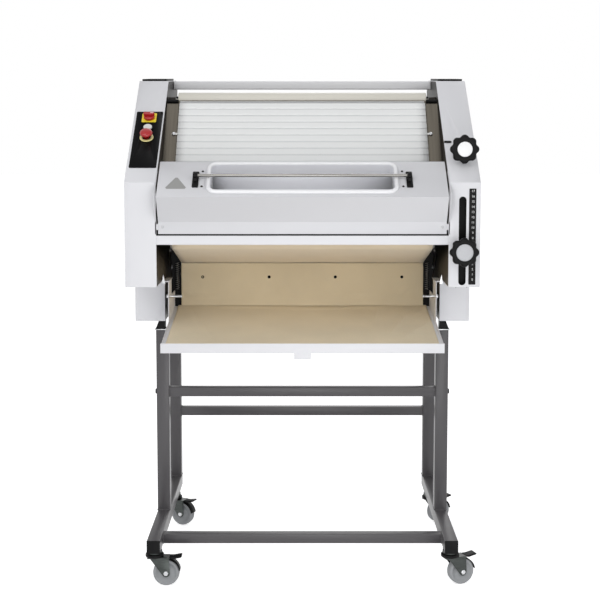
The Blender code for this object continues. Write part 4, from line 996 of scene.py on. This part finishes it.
turned("start_collar", [(0.0142, 0.0020), (0.0142, 0.0054), (0.0150, 0.0062), (0.0163, 0.0058), (0.0170, 0.0020)],
       start_place, BLACK_PLASTIC, 40, ring=True)
turned("start_cap", [(0, 0.0092), (0.0080, 0.0093), (0.0108, 0.0100), (0.0124, 0.0098), (0.0134, 0.0086),
                     (0.0135, 0.0054), (0.0088, 0.0054), (0.0088, -0.0200), (0, -0.0200)],
       start_place, PALE_PLASTIC, 40, node="start_button")

turned("stop_ring", [(0.0130, 0.0020), (0.0130, 0.0040), (0.0190, 0.0044), (0.0208, 0.0040), (0.0214, 0.0030),
                     (0.0216, 0.0020)], stop_place, RING_CREAM, 48, ring=True)
dome = [(0.0188 * math.sin(angle), 0.0222 + 0.0078 * math.cos(angle)) for angle in np.linspace(0, math.pi / 2, 9)]
turned("stop_mushroom", dome + [(0.0196, 0.0208), (0.0196, 0.0188), (0.0188, 0.0174), (0.0130, 0.0158),
                                (0.0104, 0.0150), (0.0104, 0.0102), (0.0088, 0.0100), (0.0088, -0.0200),
                                (0, -0.0200)], stop_place, RED_PLASTIC, 56, node="stop_button")
heads("panel_screws", [on_slope(PANEL_X + sign * 0.036, up, PLATE_TOP) for sign in (-1, 1) for up in (0.073, 0.338)],
      0.0024, BLACK_PLASTIC)
print("controls: switch, start, stop")

# %% [markdown]
# ## Star knobs
#
# A star knob is a solid of revolution whose radius waves eight times a turn. The wave is strong at the rim and fades
# to nothing at the hub, so the lobes melt into a smooth dished face. A paler disc caps the middle.


# %% Knobs
LOBES, LOBE_DEPTH = 8, 0.135
RIM = [(0.0235, 0.0090), (0.0260, 0.0096), (0.0310, 0.0108), (0.0375, 0.0104), (0.0420, 0.0078), (0.0438, 0.0030),
       (0.0440, -0.0030), (0.0425, -0.0080), (0.0370, -0.0108), (0.0240, -0.0110)]
RIM_WEIGHTS = [0, 0.15, 0.5, 0.9, 1, 1, 1, 1, 0.9, 0]


def star_knob(name, before, after, knob_place, node, ring=False):
    """The lobed rim between two plain stretches of profile."""
    weights = np.array([0] * len(before) + RIM_WEIGHTS + [0] * len(after), float)

    def wave(angle, row):
        return 1 - LOBE_DEPTH * weights[row] * (0.5 - 0.5 * np.cos(LOBES * angle)) ** 1.4
    return turned(name, before + RIM + after, knob_place, BLACK_PLASTIC, 128, ring, wave, node=node)


upper_place, lower_place = on_front(0.487, 0.042, 1.315), on_front(SLOT_X, -0.050, 1.013)
upper = star_knob("upper_star_knob", [(0, 0.0090)], [(0.0098, -0.0110), (0.0098, -0.1225), (0, -0.1225)],
                  upper_place, "upper_knob")
turned("upper_disc", [(0, 0.0110), (0.0200, 0.0108), (0.0222, 0.0100), (0.0228, 0.0091), (0, 0.0091)],
       upper_place, DISC_WHITE, body="upper_knob")
lower = star_knob("lower_star_knob", [(0.0062, 0.0090)], [(0.0062, -0.0110)], lower_place, "lower_knob", True)
turned("lower_disc", [(0, 0.0128), (0.0110, 0.0128), (0.0220, 0.0122), (0.0250, 0.0108), (0.0254, 0.0094),
                      (0.0070, 0.0094), (0.0070, 0.0112), (0, 0.0112)], lower_place, DISC_GREY, body="lower_knob")
finished("height_slider", ZINC)
pointer = [(-0.0115, -0.0036), (0.0070, -0.0036), (0.0115, 0), (0.0070, 0.0036), (-0.0115, 0.0036)]
extruded("knob_pointer", pointer, 0.0003, 0.0045, on_slope(0.449, 0.190), BLACK_PLASTIC, bevel=0.0006, segments=1)
print("knob faces", len(upper.data.polygons), len(lower.data.polygons))

# %% [markdown]
# ## Height scale
#
# A black strip beside the slot carries a plain scale: one column of small white numbers. Text is made as a curve,
# turned into a mesh, and moved into its place point by point, so that its object stays at the origin.


# %% Scale strip and digits
def flat_text(words, size, frame_here):
    """Points and faces of a flat text on a frame, with its middle at the frame's origin."""
    curve = bpy.data.curves.new("digit_curve", 'FONT')
    curve.body = words
    curve.size = size
    curve.align_x = 'CENTER'
    curve.align_y = 'CENTER'
    curve.resolution_u = 2
    drawn = bpy.data.objects.new("digit_drawn", curve)
    bpy.context.scene.collection.objects.link(drawn)
    mesh = real_mesh(drawn)
    bpy.data.objects.remove(drawn)
    local, faces = corners_of(mesh) * [1, 1, 0], [tuple(polygon.vertices) for polygon in mesh.polygons]
    bpy.data.meshes.remove(mesh)
    return put(frame_here, local), faces


extruded("scale_strip", round_box(0.021, 0.288, 0.002), 0.0002, 0.0010, on_front(0.5075, 0, 1.055), BLACK_SATIN)
NUMBERS, NUMBER_FOOT, NUMBER_STEP = 18, 0.926, 0.0156
digits = [flat_text(str(index), 0.0095, on_front(0.5085, -0.00115, NUMBER_FOOT + index * NUMBER_STEP))
          for index in range(NUMBERS)]
placed(link_parts("scale_digits", digits, DIGIT_WHITE, False))
print("scale numbers:", NUMBERS)

# %% [markdown]
# ## Safety bar
#
# A steel rod lies across the hopper on two black arms that tilt a little when something pushes them. The arms are
# flat plates with a round end about the rod, and each stands on a black foot. Beside each foot a painted tab holds it
# to the guard with two dark screws.


# %% Safety bar
def beside_slope(up, lift):
    """A frame seen from the machine's side: across is up the slope, up is away from it, out is +X."""
    return facing(on_slope(0, up, lift)[0], (0, math.cos(SLOPE), math.sin(SLOPE)),
                  (0, -math.sin(SLOPE), math.cos(SLOPE)))


BAR_UP, BAR_LIFT, BAR_HALF = 0.015, 0.015, 0.325
turned("safety_rod", [(0, BAR_HALF), (0.0036, BAR_HALF), (0.0045, BAR_HALF - 0.001), (0.0045, 0.001 - BAR_HALF),
                      (0.0036, -BAR_HALF), (0, -BAR_HALF)], beside_slope(BAR_UP, BAR_LIFT), ROD_STEEL, 32,
       node="safety_bar")
turn = np.linspace(math.radians(-20), math.radians(200), 14)
arm = np.vstack([[(-0.0140, 0.0032), (0.0140, 0.0032)],
                 np.column_stack([0.0085 * np.cos(turn), BAR_LIFT + 0.0085 * np.sin(turn)])])
for side, sign in SIDES:
    low = 0.3140 if sign > 0 else -0.3250
    extruded("safety_arm_" + side, arm, low, low + 0.011, beside_slope(BAR_UP, 0), BLACK_PLASTIC, body="safety_bar",
             bevel=0.0012)
    extruded("safety_foot_" + side, round_box(0.019, 0.072, 0.003), 0.0003, 0.0026,
             on_slope(sign * 0.3190, BAR_UP - 0.003), BLACK_PLASTIC, bevel=0.0006)
    extruded("safety_tab_" + side, round_box(0.014, 0.090, 0.004), 0.0003, 0.0016, on_slope(sign * 0.2990, BAR_UP),
             GUARD_WHITE)
heads("safety_foot_screws", [on_slope(sign * 0.2990, BAR_UP + shift, 0.0016) for sign in (-1, 1)
                             for shift in (-0.035, 0.034)], 0.0038, SHADED_FRAME_STEEL)
print("bar length", 2 * BAR_HALF)

# %% [markdown]
# ## Stand
#
# The stand is square tube, welded and powder coated. Welds show as a small uneven bead round each joint. A bead is a
# circle carried along a square path, and its radius wavers with a sum of sines, which reads as the ripple of a weld.


# %% Tubes, caps and weld beads
BEAD_STEPS = 72


def weld_bead(name, frame_here, size, bead=0.0019):
    """A rippled ring of weld round a square: radius = bead x (1 + ripple), swept along the outline."""
    outline = round_box(size, size, 0.004, 4)
    path, distance = resampled(np.vstack([outline, outline[:1]]), BEAD_STEPS, False)
    direction = unit(np.roll(path, -1, 0) - np.roll(path, 1, 0))
    outward = np.column_stack([direction[:, 1], -direction[:, 0]])
    radius = bead * (1 + 0.16 * np.sin(distance * 1900) + 0.08 * np.sin(distance * 740 + 1))
    turn = np.linspace(0, 2 * math.pi, 8, endpoint=False)
    side = path[:, None, :] + outward[:, None, :] * (radius[:, None] * np.cos(turn)[None, :])[..., None]
    local = np.concatenate([side, (radius[:, None] * np.sin(turn)[None, :])[..., None]], -1)
    faces = grid_faces(BEAD_STEPS, len(turn), True, True)
    placed(tidy_faces(link_mesh(name, put(frame_here, local.reshape(-1, 3)), faces, STAND_GREY)))


POST_X, FRONT_POST_Y, REAR_POST_Y, FOOT_TOP = 0.447, 0.249, 0.644, 0.147
CROSSBARS = (("lower_crossbar", 0.021, 0.127), ("upper_crossbar", FRONT_POST_Y, 0.534),
             ("rear_crossbar", REAR_POST_Y, 0.380))
for side, sign in SIDES:
    for node in ("foot_bar_", "front_post_", "rear_post_"):
        softened(node + side, 0.0042, STAND_GREY, 3)
    softened("foot_cap_" + side, 0.0010, BLACK_PLASTIC)
    for row, y in (("front", FRONT_POST_Y), ("rear", REAR_POST_Y)):
        corner = row + "_" + side
        softened("machine_mount_" + corner, 0.0012, BLACK_PLASTIC)
        weld_bead("post_weld_" + corner, on_level(sign * POST_X, y, FOOT_TOP + 0.0008), 0.040)
        extruded("post_plate_" + corner, round_box(0.048, 0.046, 0.003), 0.7362, 0.7391,
                 on_level(sign * (POST_X - 0.0005), y), ZINC, bevel=0.0006, segments=1)
for node, y, z in CROSSBARS:
    softened(node, 0.0042, STAND_GREY, 3)
    for side, sign in SIDES:
        weld_bead(node + "_weld_" + side, on_side(sign, sign * (POST_X - 0.0208), y, z), 0.030)
heads("post_bolts", [on_side(sign, sign * (POST_X + 0.0202), y, z) for sign in (-1, 1) for node, y, z in CROSSBARS[1:]],
      0.0085, BLACK_SATIN, hexagonal=True)
print("crossbars:", len(CROSSBARS))

# %% [markdown]
# ## Casters
#
# Each caster is a pressed zinc fork under a bearing ring, a grey wheel with a lighter hub, an axle nut, and a black
# brake pedal over a curved hood. The wheel's tread is slightly crowned, as a moulded tyre is, and its side is dished
# round the hub.


# %% Caster pieces
def caster_axes(name):
    """The swivel's place, the trail direction, the axle direction and the wheel's centre, from the CAD wheel."""
    swivel = np.array([-POST_X if "left" in name else POST_X, -0.037 if "front" in name else 0.558, 0.0])
    middle = corners_of(frame["nodes"]["caster_wheel_" + name].data).mean(0) - [0, FRONT, 0]
    trail = (middle - swivel) * [1, 1, 0]
    trail /= np.linalg.norm(trail)
    axle = np.array([-trail[1], trail[0], 0.0])
    return swivel, trail, axle, np.array([*(swivel + trail * 0.035)[:2], 0.040])


tread = [(0.0045, 0.0160), (0.0105, 0.0160), (0.0118, 0.0152), (0.0125, 0.0118), (0.0200, 0.0095), (0.0285, 0.0100),
         (0.0300, 0.0126), (0.0345, 0.0139), (0.0372, 0.0134), (0.0390, 0.0112), (0.0398, 0.0060), (0.0400, 0.0)]
tread = tread + [(radius, -height) for radius, height in tread[-2::-1]]
hub = [(0.0045, 0.01615), (0.0100, 0.01615), (0.0110, 0.0158), (0.0110, 0.0150), (0.0045, 0.0150)]
bearing = [(0.0232, 0.0870), (0.0268, 0.0880), (0.0278, 0.0900), (0.0278, 0.0950), (0.0266, 0.0972), (0.0232, 0.0980)]
turn = np.radians(np.linspace(75, 8, 16))
hood = thick_path(0.0412 * np.column_stack([np.cos(turn), np.sin(turn)]), 0.0014)
for name in ("front_left", "front_right", "rear_left", "rear_right"):
    swivel, trail, axle, centre = caster_axes(name)
    turned("wheel_" + name, tread, facing(centre, trail, np.cross(axle, trail)), WHEEL_GREY, 72, ring=True,
           node="caster_wheel_" + name)
    for tag, side in (("a", 1), ("b", -1)):
        turned("hub_" + name + "_" + tag, hub, facing(centre, trail * side, np.cross(axle, trail)), HUB_GREY, 32,
               ring=True, body="wheel_" + name)
    softened("caster_fork_" + name, 0.0006, FORK_STEEL)
    softened("brake_pedal_" + name, 0.0012, BLACK_PLASTIC)
    swivel_frame = on_level(*swivel)
    turned("bearing_ring_" + name, bearing, swivel_frame, BLACK_PLASTIC, ring=True, body="fork_" + name)
    extruded("top_plate_" + name, round_box(0.039, 0.056, 0.004), 0.1042, 0.1066, swivel_frame, BLACK_SATIN,
             bevel=0.0005, segments=1)
    plate_bolts = [facing(swivel + [x, y, 0.1043], (1, 0, 0), (0, -1, 0))
                   for x in (-0.0140, 0.0140) for y in (-0.0235, 0.0235)]
    heads("plate_bolts_" + name, plate_bolts, 0.0034, BLACK_SATIN, hexagonal=True)
    extruded("brake_hood_" + name, hood, -0.0158, 0.0158, facing(centre, trail, (0, 0, 1)), BLACK_PLASTIC, True,
             body="fork_" + name)
    nuts = [facing(centre + axle * side * 0.0186, trail, np.cross(axle * side, trail)) for side in (1, -1)]
    heads("axle_nuts_" + name, nuts, 0.0072, ZINC, "fork_" + name, True)
print("casters: 4")

# %% [markdown]
# ## Rear panel and drive
#
# The back is a plain folded panel with three columns of pressed louvres, and screws along its edge. A louvre is a long
# blister: a half sine across and a flat-topped curve along. The gear motor sits inside the left frame, and drives the
# belt through two sprockets and a roller chain.

# %% Rear panel with louvres
softened("back_panel", 0.0006, WHITE_PAINT)
panel_back = machine_box("back_panel")[1][1]
LOUVRE_ROWS, LOUVRE_COLUMNS = 13, 33
amount_u, amount_v = np.meshgrid(np.linspace(-1, 1, LOUVRE_COLUMNS), np.linspace(0, 1, LOUVRE_ROWS))
blister = np.sin(math.pi * amount_v ** 0.7) * (1 - np.abs(amount_u) ** 6)
louvre = np.stack([amount_u * 0.090, panel_back - 0.0004 + 0.0055 * blister, (amount_v - 0.5) * 0.014], -1)
louvres = [(louvre.reshape(-1, 3) + [x, 0, 1.340 - row * 0.030], grid_faces(LOUVRE_ROWS, LOUVRE_COLUMNS)[:, ::-1])
           for x in (-0.280, 0.0, 0.280) for row in range(6)]
placed(link_parts("rear_louvres", louvres, WHITE_PAINT))
rear_screws = [(x, z) for x in np.linspace(-0.410, 0.410, 5) for z in (0.790, 1.450)]
rear_screws += [(x, z) for x in (-0.410, 0.410) for z in (0.960, 1.120, 1.280)]
heads("rear_screws", [on_rear(x, panel_back + 0.0002, z) for x, z in rear_screws], 0.0046, ZINC)
print("louvres:", len(louvres), "rear screws:", len(rear_screws))

# %% Mains gland
turned("gland_nut", [(0.0112, 0.7565), (0.0142, 0.7565), (0.0146, 0.7550), (0.0146, 0.7490), (0.0138, 0.7478),
                     (0.0112, 0.7478)], on_level(-0.484, 0.580), BLACK_PLASTIC, 6, ring=True)
print("gland nut under the cover, whose lowest face is at", round(float(machine_box("side_cover_left")[0][2]), 4))

# %% Drive
softened("gear_motor", 0.0030, MOTOR_CAST)
for node in ("motor_sprocket", "belt_sprocket"):
    finished(node, SHADED_FRAME_STEEL)
MOTOR = (0.520, 1.200)
CHAIN_X = -0.456
LINKS, LINK_HALF, LINK_R = 72, 0.0048, 0.0030
chain_path, chain_distance = loop_path(MOTOR, 0.040, BELT_REAR, 0.052, LINKS + 1)
tangent = unit(np.roll(chain_path[:-1], -1, 0) - np.roll(chain_path[:-1], 1, 0))
angle = np.linspace(0, 2 * math.pi, 12, endpoint=False)
link = LINK_R * np.column_stack([np.cos(angle), np.sin(angle)])
link[:, 0] += np.where(np.cos(angle) >= 0, LINK_HALF, -LINK_HALF)
links = []
for index, (y, z) in enumerate(tangent):
    link_frame = facing((CHAIN_X, *chain_path[index]), (0, y, z), (0, -z, y))
    inner, outer = (0.0012, 0.0026) if index % 2 else (-0.0002, 0.0010)
    links += [prism(link, *ends, link_frame) for ends in ((-outer, -inner), (inner, outer))]
placed(tidy_faces(link_parts("chain_links", links, CHAIN_STEEL, False), 1e-7), node="drive_chain")
print("chain", LINKS, "links,", round(chain_distance[-1], 3), "m")

# %% [markdown]
# ## Side mechanism
#
# In the gap between the tray and each frame, steel parts show that carry the pressing board's ends: a coil spring, a
# short arm with its bolts and a small gusset. Behind the spring a black plate fills the gap; it is painted shade. A
# flange is folded out of the top of each cheek of the tray.

# %% Arms beside the mouth
cheek_top = corners_of(frame["nodes"]["catch_tray"].data)[:, 2].max() + 0.0003
COIL_TURNS, COIL_RADIUS, WIRE_RADIUS = 13, 0.0055, 0.0011
turn = np.linspace(0, 2 * math.pi * COIL_TURNS, COIL_TURNS * 12 + 1)
outward = np.column_stack([np.cos(turn), np.sin(turn), np.zeros(len(turn))])
coil = COIL_RADIUS * outward
coil[:, 2] = np.linspace(0.850, 0.940, len(turn))
ring = np.linspace(0, 2 * math.pi, 6, endpoint=False)[None, :, None]
wire = WIRE_RADIUS * (outward[:, None, :] * np.cos(ring) + np.array([0, 0, 1]) * np.sin(ring))
coil_points = (coil[:, None, :] + wire).reshape(-1, 3)
# a black plate fills each gap, which is painted shade
for side, sign in SIDES:
    extruded("gap_shade_plate_" + side, round_box(0.0320, 0.245, 0.002) + [sign * 0.4125, 0.0], -0.0010, 0.0010,
             on_front(0, 0.362, 0.888), BLACK_SATIN)
    placed(tidy_faces(link_mesh("side_spring_" + side, coil_points + [sign * 0.4080, 0.3460, 0],
                                grid_faces(len(coil), 6, False, True), ROLLER_STEEL)))
    flange = thick_path([(0.4125, 0.0), (0.4300, 0.0), (0.4300, -0.005)], 0.0015) * [sign, 1]
    extruded("tray_flange_" + side, flange, -0.225, -0.139, on_front(0, 0, cheek_top), WHITE_PAINT, body="catch_tray")
    low = 0.4290 if sign > 0 else -0.4320
    extruded("side_arm_" + side, [(0.300, 0.985), (0.318, 0.996), (0.372, 0.925), (0.352, 0.916)], low, low + 0.003,
             along_x(), SHADED_FRAME_STEEL, bevel=0.0006)
    gusset = np.array([(-0.0040, -0.014), (0.0055, -0.014), (0.0055, -0.008), (0.0020, 0.014)]) * [sign, 1]
    extruded("side_gusset_" + side, gusset, 0.0, 0.0016, on_front(sign * 0.4225, 0.070, 0.919), ZINC)
heads("side_bolts", [on_side(-sign, sign * 0.4285, y, z) for sign in (-1, 1)
                     for y, z in ((0.312, 0.985), (0.361, 0.924))], 0.0062, ZINC, hexagonal=True)
print("side arms: 2")

# %% [markdown]
# ## Floor
#
# A pale floor keeps the machine's soft shadow. The camera sees it as white, because the colour of the shade is mixed
# with white light for camera rays only.

# %% Floor
FLOOR_HALF, FLOOR_Z, CAMERA_GLOW = 30, -0.0005, 0.65
floor_mesh = bpy.data.meshes.new("floor")
floor_mesh.from_pydata([(x * FLOOR_HALF, y * FLOOR_HALF, FLOOR_Z) for x, y in ((-1, -1), (1, -1), (1, 1), (-1, 1))],
                       [], [(0, 1, 2, 3)])
floor = bpy.data.objects.new("floor", floor_mesh)
bpy.context.scene.collection.objects.link(floor)
floor_look = bpy.data.materials.new("floor_pale")
floor_look.use_nodes = True
tree = floor_look.node_tree
floor_shader = tree.nodes["Principled BSDF"]
floor_shader.inputs["Base Color"].default_value = linear(243, 243, 243)
floor_shader.inputs["Roughness"].default_value = 0.9
floor_shader.inputs["Specular IOR Level"].default_value = 0.1
glow = tree.nodes.new("ShaderNodeEmission")
glow.inputs["Color"].default_value = (1, 1, 1, 1)
tree.links.new(add_math(tree, 'MULTIPLY', sees_white(tree), CAMERA_GLOW), glow.inputs["Strength"])
both = tree.nodes.new("ShaderNodeAddShader")
tree.links.new(floor_shader.outputs["BSDF"], both.inputs[0])
tree.links.new(glow.outputs["Emission"], both.inputs[1])
tree.links.new(both.outputs["Shader"], tree.nodes["Material Output"].inputs["Surface"])
floor_mesh.materials.append(floor_look)
